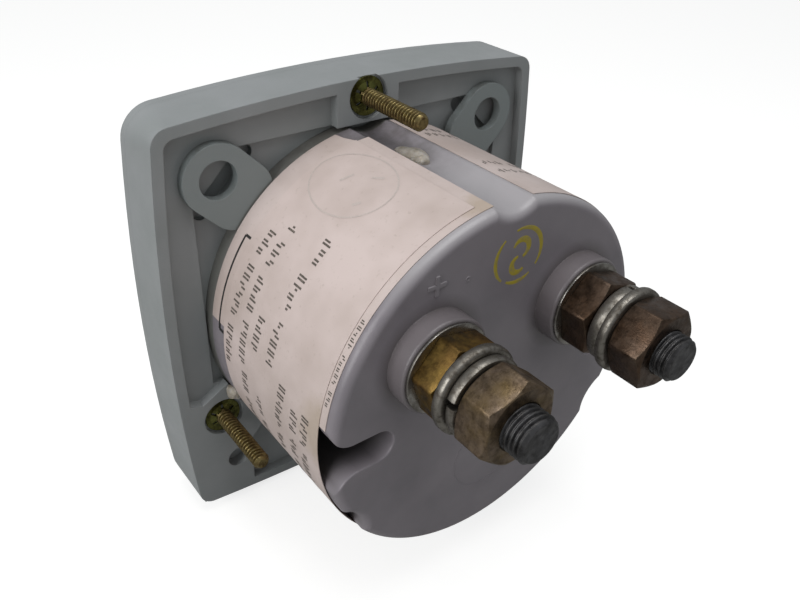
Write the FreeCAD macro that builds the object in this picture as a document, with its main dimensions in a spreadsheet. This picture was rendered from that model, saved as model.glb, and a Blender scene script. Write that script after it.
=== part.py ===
# Analog panel meter: a square moulded bezel with a round rear case, three mounting
# studs, two threaded terminals and a moving-coil movement behind a flat window.
# Frame: the bezel's rear rim lies in the plane Y = 0, the dial looks along -Y, the
# round case and its terminals reach along +Y, and +Z is up. The origin is on the
# axis of the round case. Every length is in millimetres.

import FreeCAD, Part
import Sketcher
import math
import os

V = FreeCAD.Vector
doc = FreeCAD.newDocument("PanelMeter")
sheet = doc.addObject("Spreadsheet::Sheet", "Sizes")
pieces = {}


class Size:
    """A number that also carries its own spreadsheet expression."""

    def __init__(self, text, value):
        self.text = text
        self.value = value

    def __add__(self, other):
        other = sized(other)
        return Size(f"({self.text} + {other.text})", self.value + other.value)

    def __sub__(self, other):
        other = sized(other)
        return Size(f"({self.text} - {other.text})", self.value - other.value)

    def __mul__(self, other):
        other = sized(other)
        return Size(f"({self.text} * {other.text})", self.value * other.value)

    def __truediv__(self, other):
        other = sized(other)
        return Size(f"({self.text} / {other.text})", self.value / other.value)

    def __radd__(self, other):
        return sized(other) + self

    def __rsub__(self, other):
        return sized(other) - self

    def __rmul__(self, other):
        return sized(other) * self

    def __neg__(self):
        return Size(f"(0 - {self.text})", -self.value)

    def root(self):
        return Size(f"sqrt({self.text})", math.sqrt(self.value))


def sized(number):
    """Wrap a plain number, so that sizes and numbers mix."""
    return number if isinstance(number, Size) else Size(repr(float(number)), float(number))


def size(alias, value):
    """Write one driving dimension into the next row of the sheet."""
    row = size.row = getattr(size, "row", 0) + 1
    sheet.set(f"A{row}", alias.replace("_", " "))
    sheet.set(f"B{row}", str(value))
    sheet.setAlias(f"B{row}", alias)
    return Size(f"Sizes.{alias}", float(value))


# Bezel: outline, rim and walls
bezel_half = size("bezel_half", 43.25)
bezel_side_radius = size("bezel_side_radius", 394.0)
bezel_depth = size("bezel_depth", 9.6)
bezel_draft = size("bezel_draft", 0.5)
bezel_rear_corner = size("bezel_rear_corner", 3.3)
bezel_front_corner = size("bezel_front_corner", 6.4)
rim_width = size("rim_width", 2.1)
rim_corner = size("rim_corner", 2.0)
recess_depth = size("recess_depth", 2.0)
well_depth = size("well_depth", 3.0)
well_bottom = size("well_bottom", 12.5)
bezel_back_wall = size("bezel_back_wall", 1.6)
bezel_side_wall = size("bezel_side_wall", 2.4)
top_land_half = size("top_land_half", 6.8)
corner_land_margin = size("corner_land_margin", 14.35)
corner_land_top_margin = size("corner_land_top_margin", 14.25)
corner_land_half = size("corner_land_half", 6.0)
corner_land_turn_margin = size("corner_land_turn_margin", 2.45)
land_reach = size("land_reach", 0.6)
seat_clearance = size("seat_clearance", 0.3)

# Mounting studs, their retainers and the flutes that clear their nuts
stud_margin = size("stud_margin", 3.63)
stud_radius = size("stud_radius", 1.75)
stud_reach = size("stud_reach", 15.9)
stud_root = size("stud_root", 3.8)
stud_flange_radius = size("stud_flange_radius", 3.0)
stud_flange = size("stud_flange", 1.0)
stud_tip_chamfer = size("stud_tip_chamfer", 0.45)
retainer_radius = size("retainer_radius", 3.7)
retainer_ring = size("retainer_ring", 1.0)
retainer_sheet = size("retainer_sheet", 0.35)
retainer_rise = size("retainer_rise", 0.4)
retainer_slit = size("retainer_slit", 0.5)
retainer_bite = size("retainer_bite", 0.3)
stud_neck = size("stud_neck", 0.25)
counterbore_radius = size("counterbore_radius", 4.15)
counterbore_depth = size("counterbore_depth", 0.9)
flute_radius = size("flute_radius", 6.6)

# Rear case
case_margin = size("case_margin", 8.65)
case_length = size("case_length", 39.8)
case_wall = size("case_wall", 2.6)
case_floor = size("case_floor", 2.4)
case_edge = size("case_edge", 1.6)
ear_margin = size("ear_margin", 12.73)
ear_radius = size("ear_radius", 6.5)
ear_hole = size("ear_hole", 3.5)
ear_below_rim = size("ear_below_rim", 0.2)
snap_margin = size("snap_margin", 14.55)
snap_half = size("snap_half", 6.4)
snap_radius = size("snap_radius", 1.5)
snap_depth = size("snap_depth", 1.2)
corner_hole_margin = size("corner_hole_margin", 11.15)
corner_hole_radius = size("corner_hole_radius", 2.3)
corner_hole_depth = size("corner_hole_depth", 2.6)
slot_margin = size("slot_margin", 9.1)
slot_height = size("slot_height", -1.75)
slot_radius = size("slot_radius", 3.05)
slot_wall = size("slot_wall", 2.0)
slot_seat = size("slot_seat", 6.0)
slot_lip = size("slot_lip", 4.0)
slot_lip_proud = size("slot_lip_proud", 0.1)
slot_edge = size("slot_edge", 0.3)
flute_lip = size("flute_lip", 0.5)
case_screw_radius = size("case_screw_radius", 1.45)
case_screw_head = size("case_screw_head", 2.75)
case_screw_head_height = size("case_screw_head_height", 2.0)
screw_slot_width = size("screw_slot_width", 0.7)
screw_slot_depth = size("screw_slot_depth", 0.7)
thread_clearance = size("thread_clearance", 0.05)
boss_radius = size("boss_radius", 8.5)
boss_height = size("boss_height", 3.8)
boss_edge = size("boss_edge", 0.45)
plus_margin = size("plus_margin", 4.79)
plus_angle = size("plus_angle", 58.4)
plus_arm = size("plus_arm", 1.75)
plus_width = size("plus_width", 0.7)
plus_height = size("plus_height", 0.25)

# Terminals
terminal_spacing = size("terminal_spacing", 31.75)
terminal_height = size("terminal_height", 12.7)
terminal_radius = size("terminal_radius", 3.97)
terminal_projection = size("terminal_projection", 24.0)
terminal_chamfer = size("terminal_chamfer", 0.7)
thread_bite = size("thread_bite", 0.45)
washer_clearance = size("washer_clearance", 0.15)
thread_show = size("thread_show", 0.15)
terminal_head_radius = size("terminal_head_radius", 6.6)
terminal_head_height = size("terminal_head_height", 3.6)
base_washer_radius = size("base_washer_radius", 8.0)
base_washer_sheet = size("base_washer_sheet", 0.5)
flat_washer_radius = size("flat_washer_radius", 7.7)
flat_washer_sheet = size("flat_washer_sheet", 1.8)
spring_washer_radius = size("spring_washer_radius", 6.9)
spring_washer_sheet = size("spring_washer_sheet", 2.2)
spring_washer_open = size("spring_washer_open", 2.6)
spring_washer_gap = size("spring_washer_gap", 0.9)
nut_corner = size("nut_corner", 7.5)
inner_nut_height = size("inner_nut_height", 5.0)
negative_inner_nut_height = size("negative_inner_nut_height", 5.5)
outer_nut_height = size("outer_nut_height", 6.6)
nut_chamfer = size("nut_chamfer", 0.9)
shunt_half = size("shunt_half", 23.0)
shunt_breadth = size("shunt_breadth", 5.0)
shunt_sheet = size("shunt_sheet", 1.5)

# Labels and glue
label_sheet = size("label_sheet", 0.14)
label_front = size("label_front", 0.0)
under_label_rear = size("under_label_rear", 38.0)
upper_label_front = size("upper_label_front", 4.8)
upper_label_rear = size("upper_label_rear", 36.4)
top_dab_breadth = size("top_dab_breadth", 1.6)
top_dab_length = size("top_dab_length", 3.6)
top_dab_height = size("top_dab_height", 3.2)
top_dab_place = size("top_dab_place", 13.5)
top_dab_aside = size("top_dab_aside", 1.0)
top_dab_lift = size("top_dab_lift", 0.2)
low_dab_breadth = size("low_dab_breadth", 2.2)
low_dab_length = size("low_dab_length", 2.8)
low_dab_height = size("low_dab_height", 2.4)
low_dab_place = size("low_dab_place", 1.8)
low_dab_lift = size("low_dab_lift", 0.9)

# Front frame, window and zero adjuster
frame_front_wall = size("frame_front_wall", 2.0)
frame_rise = size("frame_rise", 1.2)
frame_edge = size("frame_edge", 1.6)
frame_spigot = size("frame_spigot", 1.2)
frame_clearance = size("frame_clearance", 0.1)
window_side_margin = size("window_side_margin", 9.25)
window_bottom = size("window_bottom", -8.0)
window_top_margin = size("window_top_margin", 10.25)
window_corner = size("window_corner", 3.0)
lens_overlap = size("lens_overlap", 2.0)
lens_sheet = size("lens_sheet", 1.6)
adjuster_margin = size("adjuster_margin", 13.25)
adjuster_radius = size("adjuster_radius", 2.6)
adjuster_clearance = size("adjuster_clearance", 0.08)
adjuster_proud = size("adjuster_proud", 0.3)
adjuster_flange = size("adjuster_flange", 3.8)
adjuster_flange_sheet = size("adjuster_flange_sheet", 0.6)
adjuster_slot_width = size("adjuster_slot_width", 0.9)
adjuster_slot_depth = size("adjuster_slot_depth", 1.0)
adjuster_throw = size("adjuster_throw", 1.2)
adjuster_pin_radius = size("adjuster_pin_radius", 0.55)

# Movement: pivot axis, magnet and ring
ring_margin = size("ring_margin", 2.0)
ring_front = size("ring_front", -1.5)
ring_length = size("ring_length", 16.0)
ring_outer = size("ring_outer", 16.0)
ring_inner = size("ring_inner", 11.0)
core_radius = size("core_radius", 8.2)
core_support_half = size("core_support_half", 2.2)
movement_hole = size("movement_hole", 19.0)
pillar_radius = size("pillar_radius", 2.2)

# Movement: coil, staffs, bridges
coil_gap = size("coil_gap", 0.95)
former_radius = size("former_radius", 8.9)
former_sheet = size("former_sheet", 0.5)
former_half = size("former_half", 2.6)
winding_build = size("winding_build", 0.9)
winding_half = size("winding_half", 2.1)
staff_radius = size("staff_radius", 0.6)
staff_hub_radius = size("staff_hub_radius", 1.5)
staff_hub_height = size("staff_hub_height", 0.7)
pivot_tip_radius = size("pivot_tip_radius", 0.12)
pivot_tip_length = size("pivot_tip_length", 0.6)
pivot_play = size("pivot_play", 0.04)
bridge_sheet = size("bridge_sheet", 1.1)
bridge_half = size("bridge_half", 16.0)
bridge_breadth = size("bridge_breadth", 2.9)
bridge_post_place = size("bridge_post_place", 13.5)
bridge_post_radius = size("bridge_post_radius", 1.5)
bridge_front = size("bridge_front", -10.3)
rear_bridge_gap = size("rear_bridge_gap", 4.6)
bridge_screw_head = size("bridge_screw_head", 1.7)
bridge_screw_radius = size("bridge_screw_radius", 0.7)
jewel_thread = size("jewel_thread", 1.3)
jewel_head = size("jewel_head", 2.0)
jewel_head_height = size("jewel_head_height", 0.35)

# Pointer, balance, hairsprings and zero lever
dial_sheet = size("dial_sheet", 0.8)
dial_margin = size("dial_margin", 1.0)
dial_cut_half = size("dial_cut_half", 16.6)
dial_cut_rise = size("dial_cut_rise", 4.4)
dial_cut_drop = size("dial_cut_drop", 12.0)
dial_screw_place = size("dial_screw_place", 22.0)
dial_screw_margin = size("dial_screw_margin", 7.75)
dial_screw_grip = size("dial_screw_grip", 2.0)
dial_screw_head = size("dial_screw_head", 2.0)
dial_screw_head_height = size("dial_screw_head_height", 0.9)
dial_screw_radius = size("dial_screw_radius", 0.9)
pointer_gap = size("pointer_gap", 1.5)
pointer_sheet = size("pointer_sheet", 0.3)
pointer_margin = size("pointer_margin", 11.0)
pointer_root_half = size("pointer_root_half", 1.0)
pointer_tip_half = size("pointer_tip_half", 0.25)
pointer_hub = size("pointer_hub", 1.9)
balance_sheet = size("balance_sheet", 0.3)
balance_reach = size("balance_reach", 9.0)
balance_half = size("balance_half", 0.5)
weight_radius = size("weight_radius", 1.1)
weight_height = size("weight_height", 0.6)
spring_wire = size("spring_wire", 0.16)
spring_width = size("spring_width", 0.4)
spring_inner = size("spring_inner", 1.6)
spring_pitch = size("spring_pitch", 0.55)
spring_turns = size("spring_turns", 5.5)
spring_stud_radius = size("spring_stud_radius", 0.35)
collet_gap = size("collet_gap", 0.03)
collet_height = size("collet_height", 0.7)
lever_sheet = size("lever_sheet", 0.4)
lever_ring = size("lever_ring", 3.2)
lever_half = size("lever_half", 1.5)
lever_slot_clearance = size("lever_slot_clearance", 0.1)
stop_radius = size("stop_radius", 0.4)
stop_inset = size("stop_inset", 6.0)
scale_sweep = size("scale_sweep", 90.0)
stop_overrun = size("stop_overrun", 2.0)
lead_radius = size("lead_radius", 0.45)
lead_place = size("lead_place", 5.0)
lead_bend = size("lead_bend", 0.45)

ALONG_Y = FreeCAD.Rotation(V(1, 0, 0), -90)
ZERO = sized(0)
doc.recompute()


def bind(target, prop, amount):
    """Bind one property of an object to a size's expression."""
    target.setExpression(prop, sized(amount).text)


def place(target, x=ZERO, y=ZERO, z=ZERO, turn=None):
    """Set an object's turn, then bind its place."""
    if turn is not None:
        target.Placement = FreeCAD.Placement(V(0, 0, 0), turn)
    for axis, amount in (("x", x), ("y", y), ("z", z)):
        bind(target, f"Placement.Base.{axis}", amount)
    return target


def keep(node, target):
    """Name a finished piece, which is also its file."""
    target.Label = node
    pieces[node] = target
    return target


def rod(name, radius, y_from, y_to, x=ZERO, z=ZERO):
    """A cylinder along +Y."""
    piece = doc.addObject("Part::Cylinder", name)
    bind(piece, "Radius", radius)
    bind(piece, "Height", sized(y_to) - y_from)
    return place(piece, sized(x), sized(y_from), sized(z), ALONG_Y)


def block(name, x_from, x_to, y_from, y_to, z_from, z_to):
    """A box given by its six faces."""
    piece = doc.addObject("Part::Box", name)
    bind(piece, "Length", sized(x_to) - x_from)
    bind(piece, "Width", sized(y_to) - y_from)
    bind(piece, "Height", sized(z_to) - z_from)
    return place(piece, sized(x_from), sized(y_from), sized(z_from))


def fuse(name, shapes):
    piece = doc.addObject("Part::MultiFuse", name)
    piece.Shapes = shapes
    return piece


def common(name, shapes):
    piece = doc.addObject("Part::MultiCommon", name)
    piece.Shapes = shapes
    return piece


def cut(name, base, tools):
    """Take one or more tools out of a base."""
    piece = doc.addObject("Part::Cut", name)
    piece.Base = base
    piece.Tool = tools[0] if len(tools) == 1 else fuse(name + "Tools", tools)
    return piece


def group(name, shapes):
    """Separate solids that share one node."""
    piece = doc.addObject("Part::Compound", name)
    piece.Links = shapes
    return piece


def new_body(name):
    return doc.addObject("PartDesign::Body", name)


def sketch_on(body, name, role, offset=ZERO):
    """A sketch on one of the body's own origin planes, moved along its normal."""
    sketch = body.newObject("Sketcher::SketchObject", name)
    plane = next(item for item in body.Origin.OriginFeatures if item.Role == role)
    sketch.AttachmentSupport = (plane, [""])
    sketch.MapMode = "FlatFace"
    bind(sketch, "AttachmentOffset.Base.z", offset)
    return sketch


def facing(body, name, y):
    """A sketch whose plane lies across the axis at height y: its axes are X and Z."""
    return sketch_on(body, name, "XZ_Plane", -sized(y))


def pin_point(sketch, geometry, end, x, z):
    """Fix one point of a sketch to two bound distances from the sketch's origin."""
    for kind, axis, amount in (("DistanceX", -2, sized(x)), ("DistanceY", -1, sized(z))):
        if amount.text == ZERO.text:
            sketch.addConstraint(Sketcher.Constraint("PointOnObject", geometry, end, axis))
        else:
            index = sketch.addConstraint(
                Sketcher.Constraint(kind, -1, 1, geometry, end, amount.value))
            bind(sketch, f"Constraints[{index}]", amount)


def radius_of(sketch, geometry, amount):
    index = sketch.addConstraint(Sketcher.Constraint("Radius", geometry, amount.value))
    bind(sketch, f"Constraints[{index}]", amount)


def outline(sketch, points):
    """A closed outline of straight lines through bound points."""
    points = [(sized(x), sized(z)) for x, z in points]
    first = sketch.GeometryCount
    count = len(points)
    for index, (x, z) in enumerate(points):
        x_next, z_next = points[(index + 1) % count]
        sketch.addGeometry(Part.LineSegment(V(x.value, z.value, 0), V(x_next.value, z_next.value, 0)))
    for index, (x, z) in enumerate(points):
        after = first + (index + 1) % count
        sketch.addConstraint(Sketcher.Constraint("Coincident", first + index, 2, after, 1))
        pin_point(sketch, first + index, 1, x, z)
    return sketch


def ring_line(sketch, x, z, radius):
    """A circle about a bound point."""
    x, z, radius = sized(x), sized(z), sized(radius)
    index = sketch.addGeometry(Part.Circle(V(x.value, z.value, 0), V(0, 0, 1), radius.value))
    pin_point(sketch, index, 3, x, z)
    radius_of(sketch, index, radius)
    return sketch


def chain(sketch, steps):
    """A closed chain of lines and arcs. Each step is its two or three points, and
    whether it runs smoothly into the next. Returns each step's geometry number."""
    ends = []
    for points, smooth in steps:
        clockwise = len(points) == 3 and (points[1] - points[0]).cross(points[2] - points[1]).z < 0
        ordered = points[::-1] if clockwise else points
        kind = Part.Arc if len(points) == 3 else Part.LineSegment
        index = sketch.addGeometry(kind(*ordered))
        ends.append((index, 2, 1, smooth) if clockwise else (index, 1, 2, smooth))
    for this, after in zip(ends, ends[1:] + ends[:1]):
        join = "Tangent" if this[3] else "Coincident"
        sketch.addConstraint(Sketcher.Constraint(join, this[0], this[2], after[0], after[1]))
    return [end[0] for end in ends]


def capsule(sketch, x_from, z_from, x_to, z_to, radius):
    """A slot outline: two half circles and the two lines between them."""
    start = V(x_from.value, z_from.value, 0)
    end = V(x_to.value, z_to.value, 0)
    along = (end - start).normalize()
    side = V(-along.y, along.x, 0) * radius.value
    tip = along * radius.value
    near, _, far, _ = chain(sketch, [
        ((start + side, start - tip, start - side), True), ((start - side, end - side), True),
        ((end - side, end + tip, end + side), True), ((end + side, start + side), True)])
    pin_point(sketch, near, 3, x_from, z_from)
    pin_point(sketch, far, 3, x_to, z_to)
    radius_of(sketch, near, radius)
    return sketch


def pillow(sketch, half, side_radius, corner):
    """A square outline with four bowed sides and four round corners."""
    centre = half - side_radius
    reach, low = side_radius.value - corner.value, centre.value
    diagonal = (low + math.sqrt(2 * reach ** 2 - low ** 2)) / 2
    touch = V(low + side_radius.value * (diagonal - low) / reach, side_radius.value * diagonal / reach, 0)
    mirrored = V(touch.y, touch.x, 0)
    bulge = diagonal + corner.value / math.sqrt(2)
    steps = []
    for quarter in range(4):
        turn = FreeCAD.Rotation(V(0, 0, 1), 90 * quarter)
        side = (V(touch.x, -touch.y, 0), V(half.value, 0, 0), touch)
        bend = (touch, V(bulge, bulge, 0), mirrored)
        steps += [(tuple(turn.multVec(point) for point in arc), True) for arc in (side, bend)]
    arcs = chain(sketch, steps)
    for quarter in range(4):
        side, bend = arcs[2 * quarter], arcs[2 * quarter + 1]
        radius_of(sketch, side, side_radius)
        radius_of(sketch, bend, corner)
        offset = centre if quarter < 2 else -centre
        pin_point(sketch, side, 3, offset if quarter % 2 == 0 else ZERO,
                  ZERO if quarter % 2 == 0 else offset)
    return sketch


def pad(body, name, sketch, length):
    """Material from the sketch along +Y."""
    feature = body.newObject("PartDesign::Pad", name)
    feature.Profile = sketch
    bind(feature, "Length", length)
    feature.Reversed = True
    return feature


def pocket(body, name, sketch, depth, towards_front):
    """Material taken away from the sketch, towards -Y or towards +Y."""
    doc.recompute()
    before = body.Shape.Volume
    feature = body.newObject("PartDesign::Pocket", name)
    feature.Profile = sketch
    bind(feature, "Length", depth)
    feature.Reversed = towards_front
    doc.recompute()
    if body.Shape.Volume >= before:
        raise RuntimeError(name + " cuts nothing")
    return feature


def edges_of(shape, chosen):
    """Names of the edges for which chosen(edge) is true."""
    return [f"Edge{index + 1}" for index, edge in enumerate(shape.Edges) if chosen(edge)]


def fillet(body, name, radius, chosen):
    doc.recompute()
    base = body.Tip
    feature = body.newObject("PartDesign::Fillet", name)
    feature.Base = (base, edges_of(base.Shape, chosen))
    bind(feature, "Radius", radius)
    return feature


def turned(name, points):
    """A piece turned about the Y axis from (radius, y) points."""
    body = new_body(name)
    sketch = sketch_on(body, name + "Profile", "XY_Plane")
    outline(sketch, points)
    feature = body.newObject("PartDesign::Revolution", name + "Turned")
    feature.Profile = sketch
    feature.ReferenceAxis = (sketch, ["V_Axis"])
    feature.Angle = 360
    return body


def slab(name, y_from, y_to, draw):
    """A flat piece: draw(sketch) gives its outline, padded from y_from to y_to."""
    body = new_body(name)
    sketch = facing(body, name + "Outline", y_from)
    draw(sketch)
    pad(body, name + "Pad", sketch, sized(y_to) - y_from)
    return body


def around(angle, distance, x=ZERO, z=ZERO):
    """The bound point at an angle (degrees, from +X towards +Z) and distance."""
    cosine, sine = math.cos(math.radians(angle)), math.sin(math.radians(angle))
    return sized(x) + distance * cosine, sized(z) + distance * sine


def beside(angle, distance, offset):
    """The bound point at a distance along an angle and an offset to its left."""
    x, z = around(angle, distance)
    x_aside, z_aside = around(angle + 90, offset)
    return x + x_aside, z + z_aside


STUD_ANGLES = (90, 210, 330)
LOW_DAB_ANGLE = -23.2
LABEL_STEP_ANGLE = 8.0
LABEL_BEND_ANGLE = 7.6
EAR_SIDES = (1, -1)
# Places in the plan, each a margin inside the bezel's edge or the case's wall
case_radius = bezel_half - case_margin
well_half = case_radius + seat_clearance
stud_circle = bezel_half - stud_margin
stud_shank = stud_radius - retainer_bite
ear_place = bezel_half - ear_margin
snap_place = bezel_half - snap_margin
corner_hole_place = bezel_half - corner_hole_margin
corner_land_inner = bezel_half - corner_land_margin
corner_land_top = bezel_half - corner_land_top_margin
corner_land_turn = bezel_half - corner_land_turn_margin
slot_place = case_radius - slot_margin
window_half = bezel_half - window_side_margin
window_top = bezel_half - window_top_margin
adjuster_height = adjuster_margin - bezel_half
dial_screw_height = dial_screw_margin - bezel_half
pivot_height = ring_outer + ring_margin + case_wall - case_radius
dial_cut_top = pivot_height + dial_cut_rise
dial_cut_bottom = pivot_height - dial_cut_drop
pointer_length = window_top - pivot_height - pointer_margin
stop_distance = pointer_length - stop_inset
terminal_engaged = terminal_radius - thread_bite
terminal_end = case_length + terminal_projection
recess_floor = -recess_depth
well_floor = -well_depth
inside_floor = well_floor - bezel_back_wall
bezel_front = -bezel_depth


# Front bezel: a bowed square shell, open to the front, whose rear has a rim, a
# recess with three lands for the studs, and a round seat for the case
def make_bezel():
    body = new_body("Bezel")
    rear = pillow(facing(body, "BezelRear", ZERO), bezel_half, bezel_side_radius, bezel_rear_corner)
    front = pillow(facing(body, "BezelFront", bezel_front), bezel_half + bezel_draft,
                   bezel_side_radius, bezel_front_corner)
    loft = body.newObject("PartDesign::AdditiveLoft", "BezelShell")
    loft.Profile = rear
    loft.Sections = [front]
    loft.Ruled = True
    doc.recompute()

    cavity = pillow(facing(body, "BezelCavity", bezel_front), bezel_half - bezel_side_wall,
                    bezel_side_radius, bezel_rear_corner)
    pocket(body, "BezelHollow", cavity, bezel_depth + inside_floor, False)
    recess = pillow(facing(body, "BezelRecess", ZERO), bezel_half - rim_width,
                    bezel_side_radius, rim_corner)
    pocket(body, "BezelRecessCut", recess, recess_depth, True)

    lands = facing(body, "BezelLands", recess_floor)
    land_outer = bezel_half - rim_width + land_reach
    rim_bow = bezel_half * bezel_half / bezel_side_radius / 2
    corner_outer = land_outer - rim_bow / 2
    outline(lands, [(-top_land_half, well_half), (top_land_half, well_half),
                    (top_land_half, land_outer), (-top_land_half, land_outer)])
    for side in EAR_SIDES:
        upper = [beside(-30, distance, corner_land_half) for distance in (case_radius - case_wall,
                                                                          corner_land_turn)]
        shape = upper + [(land_outer, upper[1][1] + rim_width / 2), (corner_outer, -corner_outer),
                         (corner_land_inner, -corner_outer), (corner_land_inner, -corner_land_top),
                         around(-44, case_radius - case_wall)]
        outline(lands, [(side * x, z) for x, z in shape])
    pad(body, "BezelLandPads", lands, recess_depth)

    well = facing(body, "BezelWell", recess_floor)
    outline(well, [(-well_half, -well_bottom), (well_half, -well_bottom),
                   (well_half, well_half), (-well_half, well_half)])
    pocket(body, "BezelWellCut", well, well_depth - recess_depth, True)
    seat = ring_line(facing(body, "BezelSeat", ZERO), ZERO, ZERO, case_radius + seat_clearance)
    pocket(body, "BezelSeatCut", seat, well_depth, True)
    hole = ring_line(facing(body, "BezelMovementHole", ZERO), ZERO, pivot_height, movement_hole)
    pocket(body, "BezelMovementHoleCut", hole, bezel_depth, True)

    snaps = facing(body, "BezelSnaps", well_floor)
    spread = snap_half / math.sqrt(2)
    for side in EAR_SIDES:
        capsule(snaps, side * (snap_place - spread), snap_place + spread,
                side * (snap_place + spread), snap_place - spread, snap_radius)
    pocket(body, "BezelSnapCuts", snaps, snap_depth, True)

    blind = facing(body, "BezelBlindHoles", ZERO)
    for side in EAR_SIDES:
        ring_line(blind, side * corner_hole_place, -corner_hole_place, corner_hole_radius)
    pocket(body, "BezelBlindHoleCuts", blind, corner_hole_depth, True)
    for name, radius, depth in (("Counterbore", counterbore_radius, counterbore_depth),
                                ("StudHole", stud_shank, stud_root - stud_flange)):
        sketch = facing(body, "Bezel" + name, ZERO)
        for angle in STUD_ANGLES:
            x, z = around(angle, stud_circle)
            ring_line(sketch, x, z, radius)
        pocket(body, "Bezel" + name + "Cuts", sketch, depth, True)
    roots = facing(body, "BezelStudRoot", stud_flange - stud_root)
    for angle in STUD_ANGLES:
        x, z = around(angle, stud_circle)
        ring_line(roots, x, z, stud_flange_radius)
    pocket(body, "BezelStudRootCuts", roots, stud_flange, True)
    screws = facing(body, "BezelScrewHoles", ZERO)
    threads = facing(body, "BezelDialThreads", inside_floor)
    for side in EAR_SIDES:
        ring_line(screws, side * slot_place, slot_height, case_screw_radius)
        ring_line(threads, side * dial_screw_place, dial_screw_height, dial_screw_radius)
    pocket(body, "BezelScrewHoleCuts", screws, bezel_depth, True)
    pocket(body, "BezelDialThreadCuts", threads, dial_screw_grip, False)
    return keep("front_bezel", body)


def slot_outline(sketch, side):
    """A screw slot's outline: a round inner end, straight walls and two flared lips."""
    barrel_reach = case_radius - slot_lip + slot_lip_proud
    inner = side * slot_place
    bend = V(inner.value, slot_height.value, 0)
    half = V(0, slot_radius.value, 0)
    flares = {}
    for way in (-1, 1):
        lip_z = slot_height + way * (slot_radius + slot_lip)
        lip_x = side * (barrel_reach * barrel_reach - lip_z * lip_z).root()
        lip = V(lip_x.value, lip_z.value, 0)
        wall_end = lip - V(0, way * slot_lip.value, 0)
        at_barrel = lip * (1 + slot_lip.value / barrel_reach.value)
        middle = (wall_end - lip).normalize() + (at_barrel - lip).normalize()
        flares[way] = (lip_x, lip_z, (wall_end, lip + middle.normalize() * slot_lip.value, at_barrel))
    low, high = flares[-1][2], flares[1][2]
    outside = side * (case_radius.value + 2)
    low_out, high_out = V(outside, low[2].y, 0), V(outside, high[2].y, 0)
    numbers = chain(sketch, [
        ((bend + half, bend - V(side * slot_radius.value, 0, 0), bend - half), True),
        ((bend - half, low[0]), True), (low, False), ((low[2], low_out), False),
        ((low_out, high_out), False), ((high_out, high[2]), False), (high[::-1], True),
        ((high[0], bend + half), True)])
    radius_of(sketch, numbers[0], slot_radius)
    pin_point(sketch, numbers[0], 3, inner, slot_height)
    for way, number in ((-1, numbers[2]), (1, numbers[6])):
        radius_of(sketch, number, slot_lip)
        pin_point(sketch, number, 3, flares[way][0], flares[way][1])


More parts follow.
